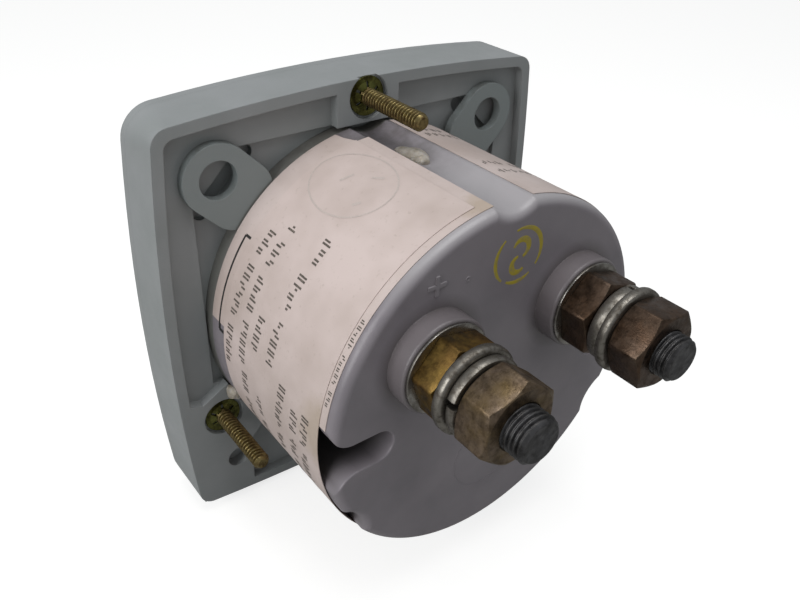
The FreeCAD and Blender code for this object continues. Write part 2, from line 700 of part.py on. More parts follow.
# Rear case: a round cup with two ears, three flutes, two deep screw slots and
# two terminal bosses
def make_case():
    body = new_body("Case")
    floor_inside = case_length - case_floor
    barrel = ring_line(facing(body, "CaseBarrel", well_floor), ZERO, ZERO, case_radius)
    pad(body, "CaseBarrelPad", barrel, case_length - well_floor)
    hollow = ring_line(facing(body, "CaseHollow", well_floor), ZERO, ZERO, case_radius - case_wall)
    pocket(body, "CaseHollowCut", hollow, floor_inside - well_floor, False)

    walls = facing(body, "CaseSlotWalls", well_floor)
    for side in EAR_SIDES:
        capsule(walls, side * slot_place, slot_height, side * (case_radius - slot_radius - slot_wall * 1.6),
                slot_height, slot_radius + slot_wall)
    pad(body, "CaseSlotWallPads", walls, floor_inside - well_floor)
    flutes = facing(body, "CaseFlutes", case_length)
    for angle in STUD_ANGLES:
        x, z = around(angle, stud_circle)
        ring_line(flutes, x, z, flute_radius)
    pocket(body, "CaseFluteCuts", flutes, case_length - well_floor, True)

    def flute_lip_edge(edge):
        box = edge.BoundBox
        nearest = min(math.hypot(box.Center.x - stud_circle.value * math.cos(math.radians(angle)),
                                 box.Center.z - stud_circle.value * math.sin(math.radians(angle)))
                      for angle in STUD_ANGLES)
        return box.YLength > 20 and abs(nearest - flute_radius.value) < 0.05

    def rear_edge(edge):
        box = edge.BoundBox
        return box.YLength < 0.01 and abs(box.YMax - case_length.value) < 0.01

    fillet(body, "CaseFluteLips", flute_lip, flute_lip_edge)
    fillet(body, "CaseRearEdge", case_edge, rear_edge)
    slots = facing(body, "CaseSlots", case_length)
    for side in EAR_SIDES:
        slot_outline(slots, side)
    pocket(body, "CaseSlotCuts", slots, case_length - slot_seat, True)
    barrel_start = case_radius.value - slot_lip.value

    def slot_rim(edge):
        aside = abs(edge.BoundBox.Center.z - slot_height.value)
        return rear_edge(edge) and abs(edge.BoundBox.Center.x) < barrel_start and aside < slot_radius.value + 0.1

    fillet(body, "CaseSlotEdges", slot_edge, slot_rim)

    ears = facing(body, "CaseEars", recess_floor)
    ear_inner = (case_radius - case_wall / 2) / math.sqrt(2)
    for side in EAR_SIDES:
        capsule(ears, side * (ear_inner + ear_radius / 2), ear_inner + ear_radius / 2,
                side * ear_place, ear_place, ear_radius)
    pad(body, "CaseEarPads", ears, recess_depth - ear_below_rim)
    bosses = facing(body, "CaseBosses", case_length - case_edge / 4)
    for side in EAR_SIDES:
        ring_line(bosses, side * terminal_spacing / 2, terminal_height, boss_radius)
    pad(body, "CaseBossPads", bosses, boss_height + case_edge / 4)
    doc.recompute()
    boss_top = case_length + boss_height
    fillet(body, "CaseBossEdges", boss_edge,
           lambda edge: edge.BoundBox.YLength < 0.01 and abs(edge.BoundBox.YMax - boss_top.value) < 0.01)

    plus = facing(body, "CasePlus", case_length - case_floor / 4)
    near, far = plus_width / 2, plus_arm
    cross = [(far, near), (near, near), (near, far), (-near, far), (-near, near), (-far, near),
             (-far, -near), (-near, -near), (-near, -far), (near, -far), (near, -near), (far, -near)]
    plus_x, plus_z = around(plus_angle.value, case_radius - plus_margin)
    outline(plus, [(plus_x + x, plus_z + z) for x, z in reversed(cross)])
    pad(body, "CasePlusPad", plus, case_floor / 4 + plus_height)
    ear_holes = facing(body, "CaseEarHoles", ZERO)
    bores = facing(body, "CaseBores", boss_top + boss_height)
    screw_holes = facing(body, "CaseScrewHoles", slot_seat)
    for side in EAR_SIDES:
        ring_line(ear_holes, side * ear_place, ear_place, ear_hole)
        ring_line(bores, side * terminal_spacing / 2, terminal_height, terminal_engaged)
        ring_line(screw_holes, side * slot_place, slot_height, case_screw_radius + thread_clearance)
    pocket(body, "CaseEarHoleCuts", ear_holes, recess_depth + recess_depth, True)
    pocket(body, "CaseBoreCuts", bores, boss_height * 2 + case_floor * 2, True)
    pocket(body, "CaseScrewHoleCuts", screw_holes, slot_seat - well_floor, True)
    return keep("rear_case", body)


# Mounting studs with push-on retainers, three times round the case
def make_studs():
    studs, retainers = [], []
    seat = -counterbore_depth
    grip_top = seat + retainer_rise + retainer_sheet
    for count, angle in enumerate(STUD_ANGLES):
        x, z = around(angle, stud_circle)
        stud = turned(f"Stud{count}", [
            (ZERO, -stud_root), (stud_flange_radius, -stud_root),
            (stud_flange_radius, stud_flange - stud_root), (stud_shank, stud_flange - stud_root),
            (stud_shank, grip_top + stud_neck), (stud_radius, grip_top + stud_neck),
            (stud_radius, stud_reach - stud_tip_chamfer), (stud_radius - stud_tip_chamfer, stud_reach),
            (ZERO, stud_reach)])
        studs.append(place(stud, x, ZERO, z))
        cone = retainer_radius - retainer_ring
        ring = turned(f"Retainer{count}", [
            (stud_shank, seat + retainer_rise), (cone, seat), (retainer_radius, seat),
            (retainer_radius, seat + retainer_sheet), (cone, seat + retainer_sheet),
            (stud_shank, grip_top)])
        slits = []
        for step in range(3):
            slit = block(f"Slit{count}{step}", -cone, cone, seat - retainer_rise, seat + retainer_rise * 3,
                         -retainer_slit / 2, retainer_slit / 2)
            turn = FreeCAD.Rotation(V(0, 1, 0), 60 * step + 30)
            slit.Placement = FreeCAD.Placement(V(0, 0, 0), turn)
            half_turn = math.radians(60 * step + 30)
            place(slit, -cone * math.cos(half_turn) - retainer_slit / 2 * math.sin(half_turn),
                  seat - retainer_rise,
                  cone * math.sin(half_turn) - retainer_slit / 2 * math.cos(half_turn))
            slits.append(slit)
        star = cut(f"Star{count}", ring, slits)
        retainers.append(place(star, x, ZERO, z))
    keep("mounting_studs", group("Studs", studs))
    keep("stud_retainers", group("Retainers", retainers))


# One slotted screw along the Y axis: its head towards +Y or towards -Y
def slotted_screw(name, radius, head, head_height, y_seat, y_end, head_side, x, z):
    top = y_seat + head_side * head_height
    points = [(ZERO, y_end), (radius, y_end), (radius, y_seat), (head, y_seat), (head, top), (ZERO, top)]
    body = turned(name, points)
    low = top - screw_slot_depth if head_side > 0 else top - screw_slot_width
    high = top + screw_slot_width if head_side > 0 else top + screw_slot_depth
    slit = block(name + "Slit", -head - radius, head + radius, low, high,
                 -screw_slot_width / 2, screw_slot_width / 2)
    return place(cut(name + "Cut", body, [slit]), x, ZERO, z)


def make_case_screws():
    screws = [slotted_screw(f"CaseScrew{side + 1}", case_screw_radius, case_screw_head,
                            case_screw_head_height, slot_seat, inside_floor, 1,
                            side * slot_place, slot_height) for side in EAR_SIDES]
    keep("case_screws", group("CaseScrews", screws))


# Terminal hardware, the same pieces in a different order on each side
def washer(name, y, outer, sheet_thickness, x):
    disc = rod(name + "Disc", outer, y, y + sheet_thickness, x, terminal_height)
    bore = terminal_radius + washer_clearance
    hole = rod(name + "Hole", bore, y - sheet_thickness, y + sheet_thickness * 2, x, terminal_height)
    return cut(name, disc, [hole])


def split_washer(name, y, height, x, angle):
    ring = washer(name + "Ring", y, spring_washer_radius, height, x)
    slit = block(name + "Slit", ZERO, spring_washer_radius * 1.2, ZERO, height * 3,
                 ZERO, spring_washer_gap)
    turn = FreeCAD.Rotation(V(0, 1, 0), -angle).multiply(FreeCAD.Rotation(V(1, 0, 0), 24))
    place(slit, x, y - height, terminal_height, turn)
    return cut(name, ring, [slit])


def hex_nut(name, y, height, chamfered, x, angle):
    """A hexagon nut with one corner at the angle, chamfered behind and, if asked, in front."""
    prism = doc.addObject("Part::Prism", name + "Prism")
    prism.Polygon = 6
    bind(prism, "Circumradius", nut_corner)
    bind(prism, "Height", height)
    place(prism, x, y, terminal_height, ALONG_Y.multiply(FreeCAD.Rotation(V(0, 0, 1), -angle)))
    end = y + height
    round_face, beyond = nut_corner - nut_chamfer, nut_corner * 1.1
    slope = (beyond - round_face) * math.tan(math.radians(30))
    points = [(ZERO, y), (beyond, y)]
    if chamfered:
        points = [(ZERO, y), (round_face, y), (beyond, y + slope)]
    points += [(beyond, end - slope), (round_face, end), (ZERO, end)]
    crown = place(turned(name + "Crown", points), x, ZERO, terminal_height)
    blank = common(name + "Blank", [prism, crown])
    hole = rod(name + "Hole", terminal_engaged, y - height, end + height, x, terminal_height)
    return cut(name, blank, [hole])


def make_terminal(side_name, side, washers, inner_height, split_height, angles):
    inner_angle, outer_angle, split_angle = angles
    x = side * terminal_spacing / 2
    floor_inside = case_length - case_floor
    head = floor_inside - terminal_head_height
    stack = base_washer_sheet + inner_height + flat_washer_sheet + split_height + outer_nut_height
    free_thread = case_length + boss_height + stack + thread_show
    stud = turned(side_name + "Stud", [
        (ZERO, head), (terminal_head_radius, head), (terminal_head_radius, floor_inside),
        (terminal_engaged, floor_inside), (terminal_engaged, free_thread),
        (terminal_radius, free_thread), (terminal_radius, terminal_end - terminal_chamfer),
        (terminal_radius - terminal_chamfer, terminal_end), (ZERO, terminal_end)])
    keep(side_name + "_terminal_stud", place(stud, x, ZERO, terminal_height))
    y = case_length + boss_height
    keep(side_name + "_base_washer", washer(side_name + "BaseWasher", y, base_washer_radius,
                                            base_washer_sheet, x))
    y = y + base_washer_sheet
    keep(side_name + "_inner_nut", hex_nut(side_name + "InnerNut", y, inner_height, False,
                                           x, inner_angle))
    y = y + inner_height
    for kind in washers:
        if kind == "flat":
            keep(side_name + "_flat_washer", washer(side_name + "FlatWasher", y, flat_washer_radius,
                                                    flat_washer_sheet, x))
            y = y + flat_washer_sheet
        else:
            keep(side_name + "_spring_washer", split_washer(side_name + "SpringWasher", y, split_height,
                                                            x, split_angle))
            y = y + split_height
    keep(side_name + "_outer_nut", hex_nut(side_name + "OuterNut", y, outer_nut_height, True,
                                           x, outer_angle))


def make_shunt():
    y = case_length - case_floor - terminal_head_height
    strip = slab("Shunt", y - shunt_sheet, y, lambda sketch: outline(sketch, [
        (-shunt_half, terminal_height - shunt_breadth), (shunt_half, terminal_height - shunt_breadth),
        (shunt_half, terminal_height + shunt_breadth), (-shunt_half, terminal_height + shunt_breadth)]))
    keep("shunt_strip", strip)


# Leads from the shunt strip: one down to the rear bridge, one down to the return ring
def make_lead(node, x, y_end, z_end):
    y_start = case_length - case_floor - terminal_head_height - shunt_sheet
    z_start = terminal_height
    bend = sized(min(y_start.value - y_end.value, z_start.value - z_end.value)) * lead_bend
    body = new_body(node.title().replace("_", ""))
    path = sketch_on(body, body.Name + "Path", "YZ_Plane", x)
    start, end = V(y_start.value, z_start.value, 0), V(y_end.value, z_end.value, 0)
    corner = V(end.x, start.y, 0)
    centre = corner + V(bend.value, -bend.value, 0)
    middle = centre + V(-1, 1, 0).normalize() * bend.value
    path.addGeometry(Part.LineSegment(start, V(centre.x, start.y, 0)))
    path.addGeometry(Part.Arc(V(centre.x, start.y, 0), middle, V(end.x, centre.y, 0)))
    path.addGeometry(Part.LineSegment(V(end.x, centre.y, 0), end))
    for index in (0, 1):
        path.addConstraint(Sketcher.Constraint("Tangent", index, 2, index + 1, 1))
    pin_point(path, 0, 1, y_start, z_start)
    pin_point(path, 2, 2, y_end, z_end)
    radius_of(path, 1, bend)
    path.addConstraint(Sketcher.Constraint("Horizontal", 0))
    profile = facing(body, body.Name + "Section", y_start)
    ring_line(profile, x, z_start, lead_radius)
    pipe = body.newObject("PartDesign::AdditivePipe", body.Name + "Pipe")
    pipe.Profile = profile
    pipe.Spine = path
    print(f"{node}: bend radius {bend.value:.2f} for a diameter of {lead_radius.value * 2:.2f}")
    keep(node, body)


# Labels: thin curved sheets on the round wall, from one angle to another
def label(name, y_from, y_to, start, end, inside):
    section = doc.addObject("Part::Cylinder", name + "Outer")
    bind(section, "Radius", case_radius + inside + label_sheet)
    bind(section, "Height", sized(y_to) - y_from)
    section.Angle = end - start
    place(section, ZERO, sized(y_from), ZERO, ALONG_Y.multiply(FreeCAD.Rotation(V(0, 0, 1), -end)))
    core = rod(name + "Core", case_radius + inside, sized(y_from) - 1, sized(y_to) + 1)
    return cut(name, section, [core])


def make_labels():
    keep("under_label", label("UnderLabel", label_front, under_label_rear, LABEL_STEP_ANGLE, 84.0, ZERO))
    lower = label("UpperLow", upper_label_front, upper_label_rear, -62.0, LABEL_STEP_ANGLE, ZERO)
    upper = label("UpperHigh", upper_label_front, upper_label_rear, LABEL_STEP_ANGLE, 80.0, label_sheet)
    bend = label("UpperBend", upper_label_front, upper_label_rear, LABEL_BEND_ANGLE, LABEL_STEP_ANGLE,
                 ZERO)
    step = label("UpperStep", upper_label_front, upper_label_rear, LABEL_BEND_ANGLE, LABEL_STEP_ANGLE,
                 label_sheet)
    keep("upper_label", fuse("UpperLabel", [lower, upper, bend, step]))
    keep("side_label", label("SideLabel", label_front, under_label_rear, 98.0, 176.0, ZERO))


def dab_sizes(dab, breadth, length, height):
    for prop, amount in (("Radius1", breadth), ("Radius2", length), ("Radius3", height)):
        bind(dab, prop, amount)


# Two dabs of clear glue: in the top flute, and beside the lower stud
def make_glue():
    top = doc.addObject("Part::Ellipsoid", "TopDab")
    dab_sizes(top, top_dab_breadth, top_dab_length, top_dab_height)
    place(top, top_dab_aside, top_dab_place, stud_circle - flute_radius + top_dab_lift)
    low = doc.addObject("Part::Ellipsoid", "LowDab")
    dab_sizes(low, low_dab_breadth, low_dab_length, low_dab_height)
    x, z = around(LOW_DAB_ANGLE, case_radius + low_dab_lift)
    place(low, x, low_dab_place, z)
    walls = doc.addObject("Part::Compound", "GlueWalls")
    walls.Links = [pieces["rear_case"], pieces["front_bezel"], pieces["under_label"],
                   pieces["upper_label"], pieces["mounting_studs"], pieces["stud_retainers"]]
    dabs = cut("GlueCut", group("Dabs", [top, low]), [walls])
    keep("glue_dabs", dabs)


# Front frame, window, dial and its screws
frame_front = bezel_front - frame_rise - frame_front_wall
wall_inside = bezel_front - frame_rise


def make_front():
    body = new_body("Frame")
    rim = pillow(facing(body, "FrameRim", frame_front), bezel_half + bezel_draft, bezel_side_radius,
                 bezel_front_corner)
    pad(body, "FrameRimPad", rim, frame_rise + frame_front_wall)
    spigot = pillow(facing(body, "FrameSpigot", wall_inside), bezel_half - bezel_side_wall - frame_clearance,
                    bezel_side_radius, bezel_rear_corner)
    pad(body, "FrameSpigotPad", spigot, frame_rise + frame_spigot)
    hollow = pillow(facing(body, "FrameHollow", wall_inside),
                    bezel_half - bezel_side_wall * 2 - frame_clearance, bezel_side_radius, bezel_rear_corner)
    pocket(body, "FrameHollowCut", hollow, frame_rise + frame_spigot + 1, False)
    window = facing(body, "FrameWindow", frame_front)
    outline(window, [(-window_half, window_bottom), (window_half, window_bottom),
                     (window_half, window_top), (-window_half, window_top)])
    pocket(body, "FrameWindowCut", window, frame_front_wall + 1, False)
    hole = ring_line(facing(body, "FrameAdjusterHole", frame_front), ZERO, adjuster_height,
                     adjuster_radius + adjuster_clearance)
    pocket(body, "FrameAdjusterHoleCut", hole, frame_front_wall + 1, False)

    def front_outline(edge):
        box = edge.BoundBox
        outer = max(abs(box.XMax), abs(box.XMin), abs(box.ZMax), abs(box.ZMin)) > bezel_half.value - 5
        return box.YLength < 0.01 and abs(box.YMax - frame_front.value) < 0.01 and outer

    def window_corner_edge(edge):
        box = edge.BoundBox
        at_side = abs(abs(box.Center.x) - window_half.value) < 0.01
        at_end = min(abs(box.Center.z - window_top.value), abs(box.Center.z - window_bottom.value)) < 0.01
        return box.YLength > frame_front_wall.value / 2 and at_side and at_end

    fillet(body, "FrameWindowCorners", window_corner, window_corner_edge)
    fillet(body, "FrameFrontEdge", frame_edge, front_outline)
    keep("front_frame", body)

    lens = slab("Lens", wall_inside, wall_inside + lens_sheet, lambda sketch: outline(sketch, [
        (-window_half - lens_overlap, window_bottom - lens_overlap),
        (window_half + lens_overlap, window_bottom - lens_overlap),
        (window_half + lens_overlap, window_top + lens_overlap),
        (-window_half - lens_overlap, window_top + lens_overlap)]))
    keep("window_lens", lens)


dial_front = inside_floor - dial_sheet


def make_dial():
    half = bezel_half - bezel_side_wall - dial_margin

    def draw(sketch):
        pillow(sketch, half, bezel_side_radius, bezel_rear_corner)
        outline(sketch, [(-dial_cut_half, dial_cut_bottom), (dial_cut_half, dial_cut_bottom),
                         (dial_cut_half, dial_cut_top), (-dial_cut_half, dial_cut_top)])
        for side in EAR_SIDES:
            ring_line(sketch, side * dial_screw_place, dial_screw_height, dial_screw_radius)
        for angle in stop_angles():
            x, z = around(angle, stop_distance, ZERO, pivot_height)
            ring_line(sketch, x, z, stop_radius)

    keep("dial_plate", slab("Dial", dial_front, inside_floor, draw))
    screws = [slotted_screw(f"DialScrew{side + 1}", dial_screw_radius, dial_screw_head,
                            dial_screw_head_height, dial_front, inside_floor + dial_screw_grip, -1,
                            side * dial_screw_place, dial_screw_height) for side in EAR_SIDES]
    keep("dial_screws", group("DialScrews", screws))
    pins = []
    for count, angle in enumerate(stop_angles()):
        x, z = around(angle, stop_distance, ZERO, pivot_height)
        pins.append(rod(f"Stop{count}", stop_radius, pointer_front - stop_radius, inside_floor, x, z))
    keep("pointer_stops", group("Stops", pins))


# The pointer rests at the low end of its scale, up and to the left seen from the front
rest_angle = 90 + scale_sweep.value / 2


def stop_angles():
    """Where the two stop pins stand, so that the pointer's side meets them past each scale end."""
    beside = math.degrees((stop_radius.value + pointer_root_half.value * 0.4) / stop_distance.value)
    past = stop_overrun.value + beside
    return (rest_angle + past, rest_angle - scale_sweep.value - past)


pointer_back = dial_front - pointer_gap
pointer_front = pointer_back - pointer_sheet


def arm(sketch, angle, start, reach, root_half, tip_half):
    """A tapered bar from the pivot outwards at an angle."""
    side = (root_half, tip_half, tip_half, root_half)
    away = (start, reach, reach, start)
    sign = (-1, -1, 1, 1)
    along = V(math.cos(math.radians(angle)), math.sin(math.radians(angle)), 0)
    points = []
    for half, distance, way in zip(side, away, sign):
        points.append((distance * along.x - way * half * along.y,
                       pivot_height + distance * along.y + way * half * along.x))
    outline(sketch, points)


# Magnet core, return ring and the pieces that hold them
def make_magnet():
    ring_back = ring_front + ring_length

    def ring_outline(sketch):
        ring_line(sketch, ZERO, pivot_height, ring_outer)
        ring_line(sketch, ZERO, pivot_height, ring_inner)
    keep("return_ring", slab("ReturnRing", ring_front, ring_back, ring_outline))
    keep("magnet_core", slab("MagnetCore", ring_front, ring_back,
                             lambda sketch: ring_line(sketch, ZERO, pivot_height, core_radius)))
    supports = []
    for count, way in enumerate((1, -1)):
        bar = block(f"SupportBar{count}", -core_support_half, core_support_half, ring_front, ring_back,
                    pivot_height + (core_radius - 1 if way > 0 else -ring_inner - 1),
                    pivot_height + (ring_inner + 1 if way > 0 else 1 - core_radius))
        inner = rod(f"SupportInner{count}", core_radius, ring_front - 1, ring_back + 1, ZERO, pivot_height)
        outer = rod(f"SupportOuter{count}", ring_inner, ring_front - 1, ring_back + 1, ZERO, pivot_height)
        supports.append(cut(f"Support{count}", common(f"SupportFit{count}", [bar, outer]), [inner]))
    keep("core_supports", group("CoreSupports", supports))
    floor_inside = case_length - case_floor
    pillars = []
    for angle in (45, 135, 270):
        x, z = around(angle, (ring_outer + ring_inner) / 2, ZERO, pivot_height)
        pillars.append(rod(f"Pillar{angle}", pillar_radius, ring_back, floor_inside, x, z))
    keep("movement_pillars", group("Pillars", pillars))


# Moving coil: former, winding and the two staffs that carry it
coil_front = ring_front - coil_gap - former_sheet
coil_back = ring_front + ring_length + coil_gap + former_sheet
front_face = coil_front - winding_build
back_face = coil_back + winding_build


def loop_about_core(name, reach, y_from, y_to, half, sheet_thickness):
    """A flat rectangular loop round the core, open along Z."""
    outer = block(name + "Outer", -reach, reach, y_from, y_to, -half, half)
    inner = block(name + "Inner", sheet_thickness - reach, reach - sheet_thickness, y_from + sheet_thickness,
                  y_to - sheet_thickness, -half * 2, half * 2)
    return cut(name, outer, [inner])


def turned_to_rest(name, shape):
    turn = FreeCAD.Rotation(V(0, 1, 0), -(rest_angle - 90))
    return place(shape, ZERO, ZERO, pivot_height, turn)


def make_coil():
    former_outer = former_radius + former_sheet
    former = loop_about_core("Former", former_outer, coil_front, coil_back, former_half, former_sheet)
    winding = loop_about_core("Winding", former_outer + winding_build, front_face, back_face,
                              winding_half, winding_build)
    keep("coil_former", turned_to_rest("FormerTurned", former))
    keep("coil_winding", turned_to_rest("WindingTurned", winding))


# Bridges, posts, jewel screws and staffs
front_bridge_back = bridge_front + bridge_sheet
rear_bridge_front = back_face + rear_bridge_gap


def make_bridges():
    ring_back = ring_front + ring_length

    def bridge_outline(sketch):
        capsule(sketch, bridge_breadth - bridge_half, pivot_height, bridge_half - bridge_breadth,
                pivot_height, bridge_breadth)
        ring_line(sketch, ZERO, pivot_height, jewel_thread)
        for side in EAR_SIDES:
            ring_line(sketch, side * bridge_post_place, pivot_height, bridge_screw_radius)
    keep("front_bridge", slab("FrontBridge", bridge_front, front_bridge_back, bridge_outline))
    keep("rear_bridge", slab("RearBridge", rear_bridge_front, rear_bridge_front + bridge_sheet,
                             bridge_outline))
    front_posts, rear_posts, screws = [], [], []
    for side in EAR_SIDES:
        x = side * bridge_post_place
        front_posts.append(rod(f"FrontPost{side + 1}", bridge_post_radius, front_bridge_back, ring_front,
                               x, pivot_height))
        rear_posts.append(rod(f"RearPost{side + 1}", bridge_post_radius, ring_back, rear_bridge_front,
                              x, pivot_height))
        screws.append(turned_screw(f"FrontBridgeScrew{side + 1}", bridge_front, front_bridge_back, -1, x))
        screws.append(turned_screw(f"RearBridgeScrew{side + 1}", rear_bridge_front + bridge_sheet,
                                   rear_bridge_front, 1, x))
    keep("front_posts", group("FrontPosts", front_posts))
    keep("rear_posts", group("RearPosts", rear_posts))
    keep("bridge_screws", group("BridgeScrews", screws))


def turned_screw(name, y_seat, y_end, head_side, x):
    """A small screw through a bridge, its head on the bridge's outer face."""
    top = y_seat + head_side * jewel_head_height
    body = turned(name, [(ZERO, y_end), (bridge_screw_radius, y_end), (bridge_screw_radius, y_seat),
                         (bridge_screw_head, y_seat), (bridge_screw_head, top), (ZERO, top)])
    return place(body, x, ZERO, pivot_height)


def staff(name, y_hub, y_tip, way):
    """A staff from its hub on the coil to its pivot tip; way is -1 towards the front."""
    hub_end = y_hub + way * staff_hub_height
    cone = y_tip - way * pivot_tip_length
    body = turned(name, [(ZERO, y_hub), (staff_hub_radius, y_hub), (staff_hub_radius, hub_end),
                         (staff_radius, hub_end), (staff_radius, cone), (pivot_tip_radius, y_tip),
                         (ZERO, y_tip)])
    return place(body, ZERO, ZERO, pivot_height)


def jewel_screw(name, y_bridge, way):
    """A threaded bush whose hollow end takes the pivot tip; way points away from the coil."""
    head = y_bridge + way * jewel_head_height
    inner = y_bridge - way * (bridge_sheet + jewel_reach)
    cup = inner + way * (pivot_tip_length + pivot_play)
    body = turned(name, [(ZERO, cup), (pivot_tip_radius + pivot_play, cup),
                         (staff_radius + pivot_play * 2, inner), (jewel_thread, inner),
                         (jewel_thread, y_bridge), (jewel_head, y_bridge), (jewel_head, head), (ZERO, head)])
    return place(body, ZERO, ZERO, pivot_height)


jewel_reach = size("jewel_reach", 0.75)
front_tip = front_bridge_back + jewel_reach - pivot_tip_length
rear_tip = rear_bridge_front - jewel_reach + pivot_tip_length


def make_pivots():
    keep("front_staff", staff("FrontStaff", front_face, front_tip, -1))
    keep("rear_staff", staff("RearStaff", back_face, rear_tip, 1))
    keep("front_jewel_screw", jewel_screw("FrontJewel", bridge_front, -1))
    keep("rear_jewel_screw", jewel_screw("RearJewel", rear_bridge_front + bridge_sheet, 1))


# Pointer, balance arms and their weights
def make_pointer():
    def pointer_outline(sketch):
        arm(sketch, rest_angle, ZERO + 1.2, pointer_length, pointer_root_half, pointer_tip_half)
    blade = slab("PointerBlade", pointer_front, pointer_back, pointer_outline)
    hub = rod("PointerHub", pointer_hub, pointer_front, pointer_back, ZERO, pivot_height)
    hole = rod("PointerHole", staff_radius, pointer_front - 1, pointer_back + 1, ZERO, pivot_height)
    keep("pointer", cut("Pointer", fuse("PointerWhole", [blade, hub]), [hole]))

    balance_back = pointer_back + balance_sheet
    blades = []
    for count, turn in enumerate((90, 180, 270)):
        def balance_outline(sketch, angle=rest_angle + turn):
            arm(sketch, angle, ZERO + 1.2, balance_reach, balance_half, balance_half)
        blades.append(slab(f"Balance{count}", pointer_back, balance_back, balance_outline))
    disc = rod("BalanceHub", pointer_hub, pointer_back, balance_back, ZERO, pivot_height)
    hole = rod("BalanceHole", staff_radius, pointer_back - 1, balance_back + 1, ZERO, pivot_height)
    keep("balance_arms", cut("Balance", fuse("BalanceWhole", blades + [disc]), [hole]))
    weights = []
    for count, turn in enumerate((90, 180, 270)):
        x, z = around(rest_angle + turn, balance_reach - weight_radius, ZERO, pivot_height)
        weights.append(rod(f"Weight{count}", weight_radius, balance_back, balance_back + weight_height, x, z))
    keep("balance_weights", group("Weights", weights))


# Hairsprings: flat spirals from the staff's collet to a fixed stud
def spiral(name, y, start):
    """A closed solid ribbon that follows a spiral, with its width along Y."""
    turns, inner, pitch = spring_turns.value, spring_inner.value, spring_pitch.value
    thick = spring_wire.value / 2
    steps = int(turns * 24)
    rails = []
    for offset in (thick, -thick):
        points = []
        for step in range(steps + 1):
            turn = turns * step / steps
            angle = math.radians(start + 360 * turn)
            distance = inner + pitch * turn + offset
            points.append(V(distance * math.cos(angle), y, pivot_height.value + distance * math.sin(angle)))
        rails.append(points)
    curves = []
    for points in rails:
        curve = Part.BSplineCurve()
        curve.interpolate(points)
        curves.append(curve.toShape())
    ends = [Part.LineSegment(rails[0][index], rails[1][index]).toShape() for index in (0, -1)]
    face = Part.Face(Part.Wire([curves[0], ends[1], curves[1], ends[0]]))
    feature = doc.addObject("Part::Feature", name)
    feature.Shape = face.extrude(V(0, spring_width.value, 0))
    return feature


def make_hairsprings():
    outer = spring_inner + spring_pitch * spring_turns
    end_turn = 360 * (spring_turns.value % 1)
    collet_radius = spring_inner - spring_wire / 2 - collet_gap
    front_y = pointer_front - collet_height
    rear_y = back_face + staff_hub_height + collet_height
    for node, name, y, way in (("front_hairspring", "FrontSpring", front_y, -1),
                               ("rear_hairspring", "RearSpring", rear_y, 1)):
        low = y if way > 0 else y - spring_width
        keep(node, spiral(name, low.value, 0.0))
    collets = []
    for name, y_from, y_to in (("FrontCollet", front_y - spring_width, pointer_front),
                               ("RearCollet", back_face + staff_hub_height, rear_y + spring_width)):
        disc = rod(name, collet_radius, y_from, y_to, ZERO, pivot_height)
        hole = rod(name + "Hole", staff_radius, y_from - 1, y_to + 1, ZERO, pivot_height)
        collets.append(cut(name + "Cut", disc, [hole]))
    keep("spring_collets", group("Collets", collets))
    x, z = around(end_turn, outer + spring_stud_radius, ZERO, pivot_height)
    keep("rear_spring_stud", rod("RearSpringStud", spring_stud_radius, rear_y, rear_bridge_front, x, z))
    return x, z, front_y


# Zero adjuster in the front frame and the lever that its eccentric pin moves
lever_front = front_bridge_back + 0.02
lever_back = lever_front + lever_sheet


def make_adjuster():
    head_front = frame_front - adjuster_proud
    flange_back = wall_inside + adjuster_flange_sheet
    body = turned("Adjuster", [
        (ZERO, head_front), (adjuster_radius, head_front), (adjuster_radius, wall_inside + 0.02),
        (adjuster_flange, wall_inside + 0.02), (adjuster_flange, flange_back), (ZERO, flange_back)])
    place(body, ZERO, ZERO, adjuster_height)
    slit = block("AdjusterSlit", -adjuster_radius * 1.2, adjuster_radius * 1.2, head_front - 1,
                 head_front + adjuster_slot_depth, adjuster_height - adjuster_slot_width / 2,
                 adjuster_height + adjuster_slot_width / 2)
    pin = rod("AdjusterPin", adjuster_pin_radius, flange_back - adjuster_flange_sheet / 2, lever_back + 0.2,
              ZERO, adjuster_height + adjuster_throw)
    keep("zero_adjuster", fuse("AdjusterWhole", [cut("AdjusterCut", body, [slit]), pin]))


def make_lever(stud_x, stud_z, spring_y):
    """The lever turns on the front jewel screw; its slot takes the adjuster's pin."""
    reach = adjuster_height + adjuster_throw * 2.6
    ring = rod("LeverRing", lever_ring, lever_front, lever_back, ZERO, pivot_height)
    tail = block("LeverTail", -lever_half, lever_half, lever_front, lever_back,
                 adjuster_height - adjuster_throw * 0.6, pivot_height)
    horn = block("LeverHorn", stud_x - spring_stud_radius * 2, ZERO, lever_front, lever_back,
                 pivot_height - lever_half, pivot_height + lever_half)
    hole = rod("LeverHole", jewel_thread + pivot_play, lever_front - 1, lever_back + 1, ZERO, pivot_height)
    half = adjuster_pin_radius + lever_slot_clearance
    slot = block("LeverSlot", -half, half, lever_front - 1, lever_back + 1,
                 adjuster_height - adjuster_throw, reach)
    pin = rod("LeverPin", spring_stud_radius, lever_back - lever_sheet / 2, spring_y, stud_x, stud_z)
    plate = cut("LeverPlate", fuse("LeverWhole", [ring, tail, horn]), [hole, slot])
    keep("zero_lever", fuse("Lever", [plate, pin]))


